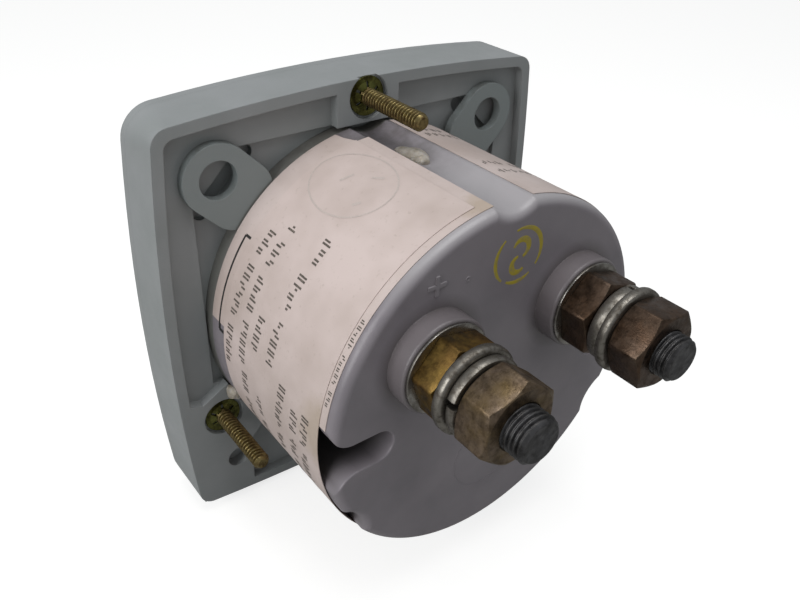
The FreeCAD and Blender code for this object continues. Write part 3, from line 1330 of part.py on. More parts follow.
make_bezel()
make_case()
make_studs()
make_case_screws()
make_terminal("positive", 1, ("flat", "spring"), inner_nut_height, spring_washer_sheet, (11.8, 37.6, 15.0))
make_terminal("negative", -1, ("spring", "flat"), negative_inner_nut_height, spring_washer_open,
              (17.3, 8.9, 100.0))
make_shunt()
make_labels()
make_glue()
make_front()
make_dial()
make_magnet()
make_coil()
make_bridges()
make_pivots()
make_pointer()
make_lever(*make_hairsprings())
make_adjuster()
make_lead("positive_lead", lead_place, rear_bridge_front + bridge_sheet / 2, pivot_height + bridge_breadth)
make_lead("negative_lead", ZERO, ring_front + ring_length / 2, pivot_height + ring_outer)
doc.recompute()

for item in doc.Objects:
    if "Invalid" in item.State or "Error" in item.State:
        raise RuntimeError(f"{item.Name} failed: {item.State}")
os.makedirs("parts", exist_ok=True)
for node, piece in pieces.items():
    shape = piece.Shape
    if shape.isNull() or not shape.isValid():
        raise RuntimeError(f"{node} has no valid shape")
    shape.exportStep(f"parts/{node}.step")
    print(f"{node}: {len(shape.Solids)} solids, volume {shape.Volume:.1f}")
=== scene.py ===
"""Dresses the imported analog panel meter: finishes, threads, nuts, labels, dial and studio.

Everything is in metres in the meter's own frame: the bezel's rim lies in Y = 0, the dial
looks along -Y, the round case and its terminals reach along +Y, and +Z is up.
"""
import logging
import math
import random
from dataclasses import dataclass, field
from enum import Enum
from typing import Any, Callable, Iterable, Sequence

import bmesh
import bpy
from mathutils import Matrix, Vector


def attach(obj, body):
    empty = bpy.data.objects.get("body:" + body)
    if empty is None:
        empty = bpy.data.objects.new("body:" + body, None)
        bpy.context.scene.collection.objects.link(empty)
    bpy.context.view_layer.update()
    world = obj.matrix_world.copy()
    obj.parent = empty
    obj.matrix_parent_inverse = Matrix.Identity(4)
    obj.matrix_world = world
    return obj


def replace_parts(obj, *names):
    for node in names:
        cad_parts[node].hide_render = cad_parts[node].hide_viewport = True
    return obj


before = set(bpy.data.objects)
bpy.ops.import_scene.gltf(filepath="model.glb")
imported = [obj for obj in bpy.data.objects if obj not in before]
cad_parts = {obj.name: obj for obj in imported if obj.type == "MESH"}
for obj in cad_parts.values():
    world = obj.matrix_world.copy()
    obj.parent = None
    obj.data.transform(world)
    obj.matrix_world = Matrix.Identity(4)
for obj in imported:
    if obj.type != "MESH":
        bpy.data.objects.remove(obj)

logging.basicConfig(level=logging.INFO, format="%(name)s: %(message)s")
LOG = logging.getLogger("panel_meter")
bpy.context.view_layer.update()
MM = 0.001
# Sizes that the dress shares with the solids, in millimetres and degrees.
CASE_RADIUS = 34.6
TERMINAL_X = 15.875
TERMINAL_Z = 12.7
STUD_CIRCLE = 39.62
STUD_ANGLES = (90.0, 210.0, 330.0)
PIVOT_Z = -14.0
# A wave texture draws one line over this length at scale 1.
WAVE_LENGTH = 0.314
Socket = bpy.types.NodeSocket
Point = tuple[float, float, float]


def linear(hex_colour: str) -> tuple[float, float, float, float]:
    """Turns an sRGB hex colour into linear light.

    Args:
        hex_colour: Six hex digits after a hash.

    Returns:
        Linear red, green and blue, fully opaque.
    """
    channels = [int(hex_colour[place:place + 2], 16) / 255 for place in (1, 3, 5)]
    light = [c / 12.92 if c <= 0.04045 else ((c + 0.055) / 1.055) ** 2.4 for c in channels]
    return (light[0], light[1], light[2], 1.0)


def fill(node: bpy.types.Node, values: dict[Any, Any]) -> None:
    """Sets a node's sockets, or links them from other sockets.

    Args:
        node: Node whose inputs are filled.
        values: Socket name or number to a value, a hex colour, or a socket to link from.
    """
    for key, value in values.items():
        if isinstance(value, Socket):
            node.id_data.links.new(value, node.inputs[key])
        else:
            node.inputs[key].default_value = linear(value) if isinstance(value, str) else value


def add_node(tree: bpy.types.NodeTree, kind: str, settings: dict[str, Any] | None = None,
             values: dict[Any, Any] | None = None) -> bpy.types.Node:
    """Adds one shader node with its settings, socket values and links.

    Args:
        tree: Node tree to add to.
        kind: Type name without the ShaderNode prefix.
        settings: Attributes to set on the node.
        values: What goes into its sockets, as for fill.

    Returns:
        The new node.
    """
    node = tree.nodes.new("ShaderNode" + kind)
    for name, setting in (settings or {}).items():
        setattr(node, name, setting)
    fill(node, values or {})
    return node


class Mould(Enum):
    """How a moulded plastic face was finished in its tool."""

    SATIN = 0.35
    GLOSS = 0.12


@dataclass(frozen=True)
class Finish:
    """One real finish, made once into a material."""

    name: str
    colour: str
    second: str
    roughness: float
    metallic: float = 0.0
    slot: str = ""

    def material(self) -> bpy.types.Material:
        """Makes this finish's material on first use.

        Returns:
            The one material of this finish.
        """
        made = bpy.data.materials.get(self.name)
        if made is None:
            made = bpy.data.materials.new(self.name)
            made.use_nodes = True
            made.node_tree.nodes.clear()
            shader = add_node(made.node_tree, "BsdfPrincipled", values={
                "Base Color": self.colour, "Metallic": self.metallic, "Roughness": self.roughness})
            add_node(made.node_tree, "OutputMaterial", values={"Surface": shader.outputs[0]})
            fill(shader, self.dress(made.node_tree))
        return made

    def dress(self, tree: bpy.types.NodeTree) -> dict[str, Any]:
        """Returns the shader inputs of this finish's own pattern; a bare finish has none."""
        return {}

    def place(self, tree: bpy.types.NodeTree) -> Socket:
        """Returns the object's own coordinates, in metres."""
        return add_node(tree, "TexCoord").outputs["Object"]

    def blotches(self, tree: bpy.types.NodeTree, size_mm: float, detail: float = 3.0,
                 low: float = 0.35, high: float = 0.65, seed: float = 0.0,
                 most: Any = 1.0) -> Socket:
        """Adds soft irregular patches.

        Args:
            tree: Node tree to add to.
            size_mm: Width of one patch.
            detail: Octaves of finer variation.
            low: Noise level that gives 0.
            high: Noise level that gives the most.
            seed: Offset that keeps two patterns apart.
            most: Greatest value, or a pattern that sets it from place to place.

        Returns:
            A socket from 0 to the most.
        """
        spot = add_node(tree, "VectorMath", {"operation": "ADD"},
                        {0: self.place(tree), 1: (seed, seed, seed)})
        noise = add_node(tree, "TexNoise", values={
            "Vector": spot.outputs[0], "Scale": 1.0 / (size_mm * MM), "Detail": detail,
            "Roughness": 0.6})
        return add_node(tree, "MapRange", values={
            "Value": noise.outputs["Fac"], "From Min": low, "From Max": high,
            "To Max": most}).outputs[0]

    def layered(self, tree: bpy.types.NodeTree, base: Any, *coats: tuple[Socket, Any]) -> Any:
        """Lays coats of colour over a base colour.

        Args:
            tree: Node tree to add to.
            base: Hex colour or colour socket under the coats.
            coats: Where each coat shows, and its hex colour or socket, the lowest first.

        Returns:
            The colour that the eye sees.
        """
        for share, tone in coats:
            base = add_node(tree, "Mix", {"data_type": "RGBA"}, {0: share, 6: base, 7: tone}).outputs[2]
        return base

    def bump(self, tree: bpy.types.NodeTree, height: Socket, depth_mm: float, strength: float = 1.0,
             edge_mm: float = 0.0) -> Socket:
        """Raises the surface by a height map, and softens edges as a moulded or worn edge is.

        Args:
            tree: Node tree to add to.
            height: Height from 0 to 1.
            depth_mm: Depth that 1 stands for.
            strength: Share of the effect that shows.
            edge_mm: Radius of a softened edge, or 0 for none.

        Returns:
            The normal for the shader.
        """
        values: dict[Any, Any] = {"Height": height, "Distance": depth_mm * MM, "Strength": strength}
        if edge_mm:
            edge = add_node(tree, "Bevel", {"samples": 4}, {"Radius": edge_mm * MM})
            values["Normal"] = edge.outputs[0]
        return add_node(tree, "Bump", values=values).outputs[0]

    def cover(self, *nodes: str) -> None:
        """Gives this finish to CAD nodes.

        Args:
            nodes: Names of the CAD nodes.
        """
        for node in nodes:
            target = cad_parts[node]
            target.data.materials.clear()
            target.data.materials.append(self.material())
            LOG.info("%s wears %s", node, self.name)


@dataclass(frozen=True)
class MouldedPlastic(Finish):
    """Injection-moulded thermoplastic: an even colour, a fine spark-eroded skin whose grain
    scatters the light, and painted shade laid in patches in its corners."""

    mould: Mould = Mould.SATIN
    grain_mm: float = 0.35
    corner_shade: str = "#8D8B84"
    corner_shade_amount: float = 0.5
    corner_shade_reach_mm: float = 2.5
    edge_mm: float = 0.25

    def soil_and_shade(self, tree: bpy.types.NodeTree, tone: Socket) -> Socket:
        """Returns the plastic's colour with the dirt and the painted light and shade on it; plain plastic
        has none.
        """
        return tone

    def dress(self, tree: bpy.types.NodeTree) -> dict[str, Any]:
        """Adds clouding, painted corner shade, handling marks and the mould's grain.

        Args:
            tree: Node tree to add to.

        Returns:
            Shader inputs by name.
        """
        clouded = self.layered(tree, self.colour, (self.blotches(tree, 14.0), self.second))
        # Painted shade: ambient occlusion darkens corners and recesses, in patches.
        corner = add_node(tree, "AmbientOcclusion", {"samples": 6, "only_local": False},
                          {"Distance": self.corner_shade_reach_mm * MM})
        painted_corner_shade = add_node(tree, "MapRange", values={
            "Value": corner.outputs["AO"], "From Min": 0.75, "From Max": 0.2,
            "To Max": self.blotches(tree, 3.0, seed=0.3, most=self.corner_shade_amount)}).outputs[0]
        rub = add_node(tree, "MapRange", values={
            "Value": self.blotches(tree, 6.0, detail=6.0, seed=0.7),
            "To Min": self.roughness + self.mould.value * 0.25, "To Max": self.roughness - 0.06})
        grain = add_node(tree, "TexNoise", values={
            "Vector": self.place(tree), "Scale": 1.0 / (self.grain_mm * MM), "Detail": 2.0})
        return {"Base Color": self.layered(tree, self.soil_and_shade(tree, clouded), (painted_corner_shade, self.corner_shade)),
                "Roughness": rub.outputs[0],
                "Normal": self.bump(tree, grain.outputs["Fac"], depth_mm=0.03,
                                    strength=self.mould.value, edge_mm=self.edge_mm)}


@dataclass(frozen=True)
class CasePlastic(MouldedPlastic):
    """The rear case: greyer and darker, as painted shade, where it sinks into the bezel's recess,
    a painted paler light with patches of stale dust along its top, and dark grime and painted
    shade round the terminals, with painted shade down in the slots."""

    ear_recess_shade: str = "#7C8383"
    barrel_recess_shade: str = "#6A6A66"
    top_painted_light: str = "#B4B2B3"
    stale_dust: str = "#4B4742"
    terminal_grime_and_shade: str = "#4A4340"
    slot_painted_shade: str = "#2F2D2B"
    top_light_and_dust_share: float = 0.5

    def soil_and_shade(self, tree: bpy.types.NodeTree, tone: Socket) -> Socket:
        """Lays painted recess shade, a painted top light with stale dust, grime and painted shade
        round the terminals and painted slot shade over the plastic, each in its own zone.

        Args:
            tree: Node tree to add to.
            tone: The plastic's own colour.

        Returns:
            The colour with its dirt and the painted light and shade.
        """
        spot = add_node(tree, "SeparateXYZ", values={0: self.place(tree)}).outputs
        flat = add_node(tree, "CombineXYZ", values={"X": spot["X"], "Z": spot["Z"]}).outputs[0]
        reach = add_node(tree, "VectorMath", {"operation": "LENGTH"}, {0: flat}).outputs["Value"]
        side = add_node(tree, "Math", {"operation": "ABSOLUTE"}, {0: spot["X"]}).outputs[0]
        pair = add_node(tree, "CombineXYZ", values={"X": side, "Z": spot["Z"]}).outputs[0]
        # Grime and painted shade darken the face round the terminals.
        away = add_node(tree, "VectorMath", {"operation": "DISTANCE"}, {
            0: pair, 1: (TERMINAL_X * MM, 0.0, TERMINAL_Z * MM)}).outputs["Value"]
        normal = add_node(tree, "NewGeometry").outputs["Normal"]
        upward = add_node(tree, "SeparateXYZ", values={0: normal})
        # Painted light: upward faces of the case's top are paler; nearer the bezel the same zone carries
        # stale dust in patches.
        zone: dict[Any, Socket] = {"lying": add_node(tree, "MapRange", values={
            "Value": upward.outputs["Z"], "From Min": 0.15, "From Max": 0.9,
            "To Max": self.top_light_and_dust_share}).outputs[0]}
        # Each zone grows between two millimetre marks, up to a number or as far as another zone.
        for name, measure, none_at, full_at, most in (
                ("recess_shade", spot["Y"], 0.0, -0.2, 1.0),
                ("barrel", reach, CASE_RADIUS + 0.5, CASE_RADIUS + 0.2, 1.0),
                ("top_light_and_dust", spot["Z"], 23.0, 29.0, "lying"),
                ("top_light", spot["Y"], 6.0, 26.0, "top_light_and_dust"),
                ("stale", spot["Y"], 26.0, 6.0, "top_light_and_dust"),
                ("terminals", away, 11.0, 8.0, 0.6),
                # Painted shade: the next three zones darken the slots below the rear face.
                ("within", reach, CASE_RADIUS - 0.2, CASE_RADIUS - 0.9, 0.85),
                ("sunk", spot["Y"], 39.5, 35.0, "within"),
                ("slots", spot["Z"], 24.0, 20.0, "sunk")):
            zone[name] = add_node(tree, "MapRange", values={
                "Value": measure, "From Min": none_at * MM, "From Max": full_at * MM,
                "To Max": zone.get(most, most)}).outputs[0]
        # Painted shade: the ears and the barrel are darker where they sink into the bezel's recess.
        recess_shade_colour = self.layered(tree, self.ear_recess_shade, (zone["barrel"], self.barrel_recess_shade))
        patches = self.blotches(tree, 2.5, detail=6.0, low=0.3, high=0.6, seed=0.8, most=zone["stale"])
        return self.layered(
            tree, tone, (zone["recess_shade"], recess_shade_colour), (zone["top_light"], self.top_painted_light),
            (patches, self.stale_dust), (zone["terminals"], self.terminal_grime_and_shade),
            (zone["slots"], self.slot_painted_shade))


@dataclass(frozen=True)
class TarnishedBrass(Finish):
    """Free-machining brass left in the air: brown and olive films of uneven depth over the
    yellow metal, duller where the film is thick, bright only on rubbed edges, which also carry a painted
    highlight."""

    film: str = "#33261A"
    edge_wear_highlight: str = "#A48D5C"
    film_share: float = 0.75
    edge_mm: float = 0.35

    def dress(self, tree: bpy.types.NodeTree) -> dict[str, Any]:
        """Adds the tarnish films, rubbed edges with a painted highlight, and fine pits.

        Args:
            tree: Node tree to add to.

        Returns:
            Shader inputs by name.
        """
        olive = self.blotches(tree, 6.0, detail=4.0, low=0.3, high=0.7)
        thick = self.blotches(tree, 3.2, detail=7.0, low=0.42, high=0.8, seed=0.4,
                              most=self.film_share)
        specks = self.blotches(tree, 1.0, detail=4.0, low=0.48, high=0.82, seed=0.7,
                               most=self.film_share)
        # Edges are lightened, partly rubbed wear and partly a painted highlight.
        soft = add_node(tree, "Bevel", {"samples": 4}, {"Radius": self.edge_mm * MM})
        facing = add_node(tree, "VectorMath", {"operation": "DOT_PRODUCT"},
                          {0: soft.outputs[0], 1: add_node(tree, "NewGeometry").outputs["Normal"]})
        edge_wear_and_highlight = add_node(tree, "MapRange", values={
            "Value": facing.outputs["Value"], "From Min": 0.985, "From Max": 0.88,
            "To Max": self.blotches(tree, 1.2, seed=0.9, most=0.55)}).outputs[0]
        tone = self.layered(tree, self.colour, (olive, self.second), (thick, self.film),
                            (specks, self.film), (edge_wear_and_highlight, self.edge_wear_highlight))
        dull = add_node(tree, "MapRange", values={
            "Value": self.blotches(tree, 1.6, detail=5.0, seed=0.2), "To Min": self.roughness - 0.12,
            "To Max": self.roughness + 0.16})
        pits = self.blotches(tree, 0.35, detail=4.0, low=0.3, high=0.7, seed=0.5)
        return {"Base Color": tone, "Roughness": dull.outputs[0],
                "Normal": self.bump(tree, pits, depth_mm=0.03, strength=0.5, edge_mm=0.22)}


@dataclass(frozen=True)
class PlatedSteel(Finish):
    """Zinc or nickel plated steel: a cool grey metal, clouded by handling, with dull spots
    where the plating has gone white."""

    spot_mm: float = 1.5
    spots: float = 0.6
    edge_mm: float = 0.15

    def dress(self, tree: bpy.types.NodeTree) -> dict[str, Any]:
        """Adds clouding, dull spots and a slightly uneven skin.

        Args:
            tree: Node tree to add to.

        Returns:
            Shader inputs by name.
        """
        spotted = self.blotches(tree, self.spot_mm, detail=5.0, low=0.42, high=0.66, most=self.spots)
        dull = add_node(tree, "MapRange", values={
            "Value": spotted, "To Min": self.roughness - 0.08, "To Max": self.roughness + 0.2})
        uneven = self.blotches(tree, 0.5, detail=3.0, low=0.2, high=0.8, seed=0.6)
        return {"Base Color": self.layered(tree, self.colour, (spotted, self.second)),
                "Roughness": dull.outputs[0],
                "Normal": self.bump(tree, uneven, depth_mm=0.02, strength=0.5, edge_mm=self.edge_mm)}


@dataclass(frozen=True)
class TurnedMetal(Finish):
    """Small clean parts turned on a lathe: fine rings round the Y axis catch the light."""

    ring_mm: float = 0.12
    axis_z: float = PIVOT_Z

    def dress(self, tree: bpy.types.NodeTree) -> dict[str, Any]:
        """Adds tool rings, drawn coarser than the real feed so that they show.

        Args:
            tree: Node tree to add to.

        Returns:
            Shader inputs by name.
        """
        centred = add_node(tree, "VectorMath", {"operation": "SUBTRACT"},
                           {0: self.place(tree), 1: (0.0, 0.0, self.axis_z * MM)})
        rings = add_node(tree, "TexWave", {"wave_type": "RINGS", "rings_direction": "Y"},
                         {"Vector": centred.outputs[0], "Scale": WAVE_LENGTH / (self.ring_mm * MM),
                          "Distortion": 0.4, "Detail": 1.0})
        return {"Base Color": self.layered(tree, self.colour, (self.blotches(tree, 4.0), self.second)),
                "Normal": self.bump(tree, rings.outputs["Fac"], depth_mm=0.008, strength=0.4,
                                    edge_mm=0.1)}


@dataclass(frozen=True)
class WoundWire(Finish):
    """Enamelled copper wire laid in layers: one line for every turn, darker between turns as painted shade,
    glossy enamel.
    """

    wire_mm: float = 0.16
    lay_angle: float = 45.0

    def dress(self, tree: bpy.types.NodeTree) -> dict[str, Any]:
        """Adds the wires, drawn about twice their real thickness so that they show, with painted shade
        between them.

        Args:
            tree: Node tree to add to.

        Returns:
            Shader inputs by name.
        """
        turned = add_node(tree, "VectorRotate", {"rotation_type": "Y_AXIS"},
                          {"Vector": self.place(tree), "Angle": math.radians(self.lay_angle)})
        wires = add_node(tree, "TexWave", {"bands_direction": "Z"},
                         {"Vector": turned.outputs[0], "Scale": WAVE_LENGTH / (self.wire_mm * MM),
                          "Distortion": 0.3}).outputs["Fac"]
        # Painted shade: the darker colour lies in the grooves between the turns.
        return {"Base Color": self.layered(tree, self.second, (wires, self.colour)),
                "Normal": self.bump(tree, wires, depth_mm=0.05, strength=0.8)}


@dataclass(frozen=True)
class LabelPaper(Finish):
    """Coated paper label, years old: cream going pink, a little glossy, finely wrinkled
    along the case, with a brown tide mark where damp got in."""

    grime: str = "#8C7F70"
    tide: str = "#97866A"
    tide_centre: Point = (0.0, 0.0, 0.0)
    tide_mm: float = 0.0
    fold_mm: float = 5.0

    def dress(self, tree: bpy.types.NodeTree) -> dict[str, Any]:
        """Adds ageing, grubby specks, the tide mark and wrinkles.

        Args:
            tree: Node tree to add to.

        Returns:
            Shader inputs by name.
        """
        specks = self.blotches(tree, 0.9, detail=6.0, low=0.6, high=0.75, seed=0.8, most=0.35)
        tone = self.layered(tree, self.colour, (self.blotches(tree, 16.0), self.second),
                            (specks, self.grime))
        if self.tide_mm:
            away = add_node(tree, "VectorMath", {"operation": "DISTANCE"},
                            {0: self.place(tree), 1: tuple(c * MM for c in self.tide_centre)})
            wander = add_node(tree, "Math", {"operation": "MULTIPLY_ADD"},
                              {0: self.blotches(tree, 3.0, detail=5.0, low=0.2, high=0.8), 1: -3.0 * MM,
                               2: away.outputs["Value"]}).outputs[0]
            damp = add_node(tree, "MapRange", values={
                "Value": wander, "From Min": self.tide_mm * MM, "From Max": self.tide_mm * 0.35 * MM,
                "To Max": 0.5}).outputs[0]
            tone = self.layered(tree, tone, (damp, self.tide))
        wrinkles = add_node(tree, "VectorMath", {"operation": "MULTIPLY"},
                            {0: self.place(tree), 1: (1.0, 0.25, 1.0)})
        folds = add_node(tree, "TexNoise", values={
            "Vector": wrinkles.outputs[0], "Scale": 1.0 / (self.fold_mm * MM), "Detail": 4.0})
        return {"Base Color": tone, "Coat Weight": 0.25, "Coat Roughness": 0.35,
                "Normal": self.bump(tree, folds.outputs["Fac"], depth_mm=0.35, strength=0.35)}


@dataclass(frozen=True)
class PrintedInk(Finish):
    """Ink from a ribbon printer or a pad: it skips over the paper's grain, so it is never
    quite solid."""

    grain_mm: float = 0.25
    skip: float = 0.55

    def dress(self, tree: bpy.types.NodeTree) -> dict[str, Any]:
        """Adds the grain that the ink skips.

        Args:
            tree: Node tree to add to.

        Returns:
            Shader inputs by name.
        """
        thin = self.blotches(tree, self.grain_mm, detail=3.0, low=0.45, high=0.7, most=self.skip)
        return {"Base Color": self.layered(tree, self.colour, (thin, self.second)),
                "Normal": self.bump(tree, thin, depth_mm=0.01, strength=0.3)}


@dataclass(frozen=True)
class DriedGlue(Finish):
    """Clear contact glue, dried and yellowed: light goes into it, bubbles cloud it, and its
    skin stays glossy."""

    scatter: Point = (0.0015, 0.0012, 0.0008)

    def dress(self, tree: bpy.types.NodeTree) -> dict[str, Any]:
        """Adds clouding, bubbles and a glossy uneven skin.

        Args:
            tree: Node tree to add to.

        Returns:
            Shader inputs by name.
        """
        clouds = self.blotches(tree, 1.5, detail=5.0)
        lumps = self.blotches(tree, 0.8, detail=4.0, low=0.3, high=0.7, seed=0.2)
        return {"Base Color": self.layered(tree, self.colour, (clouds, self.second)),
                "Transmission Weight": 0.35, "IOR": 1.48, "Subsurface Weight": 0.3,
                "Subsurface Radius": self.scatter,
                "Normal": self.bump(tree, lumps, depth_mm=0.2, strength=0.6)}


@dataclass(frozen=True)
class ClearWindow(Finish):
    """Cast acrylic sheet: clear, very smooth, with the faintest hairline marks from wiping."""

    mark_mm: float = 0.6

    def dress(self, tree: bpy.types.NodeTree) -> dict[str, Any]:
        """Makes the sheet clear and gives it wiping marks.

        Args:
            tree: Node tree to add to.

        Returns:
            Shader inputs by name.
        """
        stretched = add_node(tree, "VectorMath", {"operation": "MULTIPLY"},
                             {0: self.place(tree), 1: (0.12, 1.0, 1.0)})
        marks = add_node(tree, "TexNoise", values={
            "Vector": stretched.outputs[0], "Scale": 1.0 / (self.mark_mm * MM), "Detail": 3.0})
        smear = add_node(tree, "MapRange", values={
            "Value": marks.outputs["Fac"], "From Min": 0.45, "From Max": 0.75, "To Min": self.roughness,
            "To Max": self.roughness + 0.05})
        return {"Transmission Weight": 1.0, "IOR": 1.49, "Roughness": smear.outputs[0]}


@dataclass(frozen=True)
class StovedPaint(Finish):
    """Paint stoved on sheet metal: matt and even, with a very fine orange-peel skin."""

    def dress(self, tree: bpy.types.NodeTree) -> dict[str, Any]:
        """Adds a faint tone drift and the orange peel.

        Args:
            tree: Node tree to add to.

        Returns:
            Shader inputs by name.
        """
        peel = self.blotches(tree, 0.5, detail=2.0, low=0.2, high=0.8)
        return {"Base Color": self.layered(tree, self.colour, (self.blotches(tree, 20.0), self.second)),
                "Normal": self.bump(tree, peel, depth_mm=0.01, strength=0.3)}


BEZEL = MouldedPlastic("moulded_grey_abs", "#8C8F90", "#858989", 0.42, slot="bezel_plastic",
                       corner_shade="#6F716C")
CASE = CasePlastic("moulded_mauve_grey_abs", "#827C81", "#787378", 0.36, slot="case_plastic",
                   corner_shade="#5C564F")
BLACK_PLASTIC = MouldedPlastic("moulded_black_nylon", "#1B1C1D", "#232425", 0.35, mould=Mould.GLOSS,
                               slot="adjuster_plastic", corner_shade_amount=0.2)
NUT_BRASS = TarnishedBrass("olive_tarnished_brass", "#7F6938", "#6A4E2E", 0.42, 1.0, "tarnished_brass",
                           edge_wear_highlight="#9C8450")
NUT_DULL = TarnishedBrass("grey_brown_tarnished_brass", "#7F7064", "#6B5A3C", 0.48, 1.0,
                          "tarnished_brass", film="#3A2E22", edge_wear_highlight="#968669", film_share=0.95)
NUT_DARK = TarnishedBrass("dark_tarnished_brass", "#5F5248", "#533F30", 0.42, 1.0, "tarnished_brass",
                          film="#2A211A", edge_wear_highlight="#7F7361")
STUD_BRASS = TarnishedBrass("blackened_terminal_brass", "#68686A", "#525152", 0.5, 1.0,
                            "tarnished_brass", film="#1E1C1A", edge_wear_highlight="#6A6762")
WASHER_ZINC = PlatedSteel("dull_zinc_plated_steel", "#85817A", "#453E36", 0.46, 1.0, "zinc_steel",
                          spots=0.75, spot_mm=1.0)
BASE_TIN = PlatedSteel("grimy_tinned_steel", "#96938E", "#575149", 0.32, 1.0, "bright_steel", spots=0.8,
                       spot_mm=2.5)
STUD_ZINC = PlatedSteel("yellow_passivated_stud_steel", "#857750", "#4A3926", 0.38, 1.0, "zinc_steel",
                        spots=0.8, spot_mm=0.9)
RETAINER_ZINC = PlatedSteel("yellow_passivated_spring_steel", "#6A6B3A", "#2A2415", 0.34, 1.0,
                            "yellow_steel", spots=0.8, spot_mm=1.2)
NICKEL = PlatedSteel("nickel_plated_screw_steel", "#B9B4A9", "#8E887B", 0.28, 1.0, "nickel_steel")
CLEAN_BRASS = TurnedMetal("turned_brass", "#C9A45C", "#BC974F", 0.3, 1.0, "brass_bright")
SOFT_IRON = TurnedMetal("turned_soft_iron", "#77787A", "#66676A", 0.4, 1.0, "soft_iron", ring_mm=0.3)
MAGNET = TurnedMetal("ground_magnet_steel", "#5A5B60", "#4D4E53", 0.35, 1.0, "magnet_steel",
                     ring_mm=0.3)
POLISHED = TurnedMetal("polished_pivot_steel", "#C4C6CA", "#B4B6BA", 0.16, 1.0, "staff_steel")
FORMER_SHEET = TurnedMetal("rolled_aluminium_sheet", "#D2D4D6", "#C2C4C7", 0.32, 1.0, "coil_aluminium")
BRONZE = TurnedMetal("phosphor_bronze_strip", "#B08050", "#9F7146", 0.3, 1.0, "spring_bronze")
SHUNT_BRASS = TurnedMetal("rolled_brass_strip", "#C2A468", "#AE9058", 0.36, 1.0, "soft_brass",
                          ring_mm=0.5)
COPPER = WoundWire("enamelled_copper_winding", "#A4532C", "#5A2A14", 0.28, 0.6, "winding_copper")
DIAL_PAINT = StovedPaint("stoved_white_dial_paint", "#E9E7DE", "#E2DFD4", 0.55, 0.0, "dial_paint")
POINTER_PAINT = StovedPaint("stoved_black_pointer_paint", "#131313", "#1C1C1C", 0.5, 0.0,
                            "pointer_aluminium")
LEAD_SLEEVE = StovedPaint("soft_vinyl_lead_sleeve", "#8E1D18", "#7D1814", 0.45, 0.0, "lead_cover")
UNDER_PAPER = LabelPaper("aged_coated_label_paper", "#C4B6B1", "#B2A39C", 0.5, 0.0, "label_paper",
                         tide_centre=(3.0, 38.0, 34.6), tide_mm=4.5)
UPPER_PAPER = LabelPaper("aged_coated_over_label_paper", "#C7B8B3", "#B4A59E", 0.5, 0.0, "label_paper",
                         tide_centre=(34.4, 37.5, 3.0), tide_mm=6.5)
BLACK_INK = PrintedInk("black_ribbon_ink", "#4B453F", "#92877C", 0.6, 0.0, "label_paper")
LINE_INK = PrintedInk("black_offset_ink", "#1F1E1D", "#3A3734", 0.55, 0.0, "label_paper", skip=0.4)
FAINT_INK = PrintedInk("faded_grey_stamp_ink", "#B2A7A1", "#C2B5AF", 0.6, 0.0, "label_paper", skip=0.9)
MARK_PAINT = PrintedInk("olive_yellow_marking_paint", "#A3932B", "#8D8259", 0.5, 0.0, "case_plastic",
                        grain_mm=0.9, skip=0.8)
DIAL_INK = PrintedInk("black_dial_ink", "#141414", "#242424", 0.6, 0.0, "dial_paint", skip=0.4)
GLUE = DriedGlue("dried_clear_glue", "#D9D2C8", "#B0A696", 0.28, 0.0, "clear_glue")
WINDOW = ClearWindow("clear_cast_acrylic", "#FFFFFF", "#FFFFFF", 0.02, 0.0, "clear_window")


def in_scene(name: str, data: bpy.types.ID) -> bpy.types.Object:
    """Links a new object with this data into the scene.

    Args:
        name: Name of the object.
        data: Its mesh, lamp, camera or text.

    Returns:
        The new object.
    """
    made = bpy.data.objects.new(name, data)
    bpy.context.scene.collection.objects.link(made)
    return made


def piece(name: str, mesh: bmesh.types.BMesh, finish: Finish, body: str = "housing",
          smooth_angle: float = 35.0) -> bpy.types.Object:
    """Turns mesh data in millimetres into a finished piece that rides on a body.

    Args:
        name: Name of the piece.
        mesh: Mesh in millimetres, freed here.
        finish: What it wears.
        body: CAD body that it rides on.
        smooth_angle: Edges sharper than this stay crisp, in degrees.

    Returns:
        The new object.
    """
    bmesh.ops.scale(mesh, vec=(MM, MM, MM), verts=mesh.verts)
    bmesh.ops.recalc_face_normals(mesh, faces=mesh.faces)
    data = bpy.data.meshes.new(name)
    mesh.to_mesh(data)
    mesh.free()
    data.shade_smooth()
    data.set_sharp_from_angle(angle=math.radians(smooth_angle))
    made = in_scene(name, data)
    data.materials.append(finish.material())
    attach(made, body)
    LOG.info("%s: %d faces of %s", name, len(data.polygons), finish.name)
    return made


def grid_mesh(rows: Sequence[Sequence[Point]], closed_rows: bool = True, caps: bool = True,
              into: bmesh.types.BMesh | None = None) -> bmesh.types.BMesh:
    """Joins rows of points into a skin.

    Args:
        rows: Rows of equally many points.
        closed_rows: Whether each row closes on itself.
        caps: Whether the first and last rows are filled.
        into: Mesh to add to, or None for a new one.

    Returns:
        The mesh.
    """
    mesh = into or bmesh.new()
    verts = [[mesh.verts.new(point) for point in row] for row in rows]
    width = len(rows[0])
    for lower, upper in zip(verts, verts[1:]):
        for column in range(width if closed_rows else width - 1):
            after = (column + 1) % width
            mesh.faces.new((lower[column], lower[after], upper[after], upper[column]))
    if caps:
        mesh.faces.new(verts[0][::-1])
        mesh.faces.new(verts[-1])
    return mesh


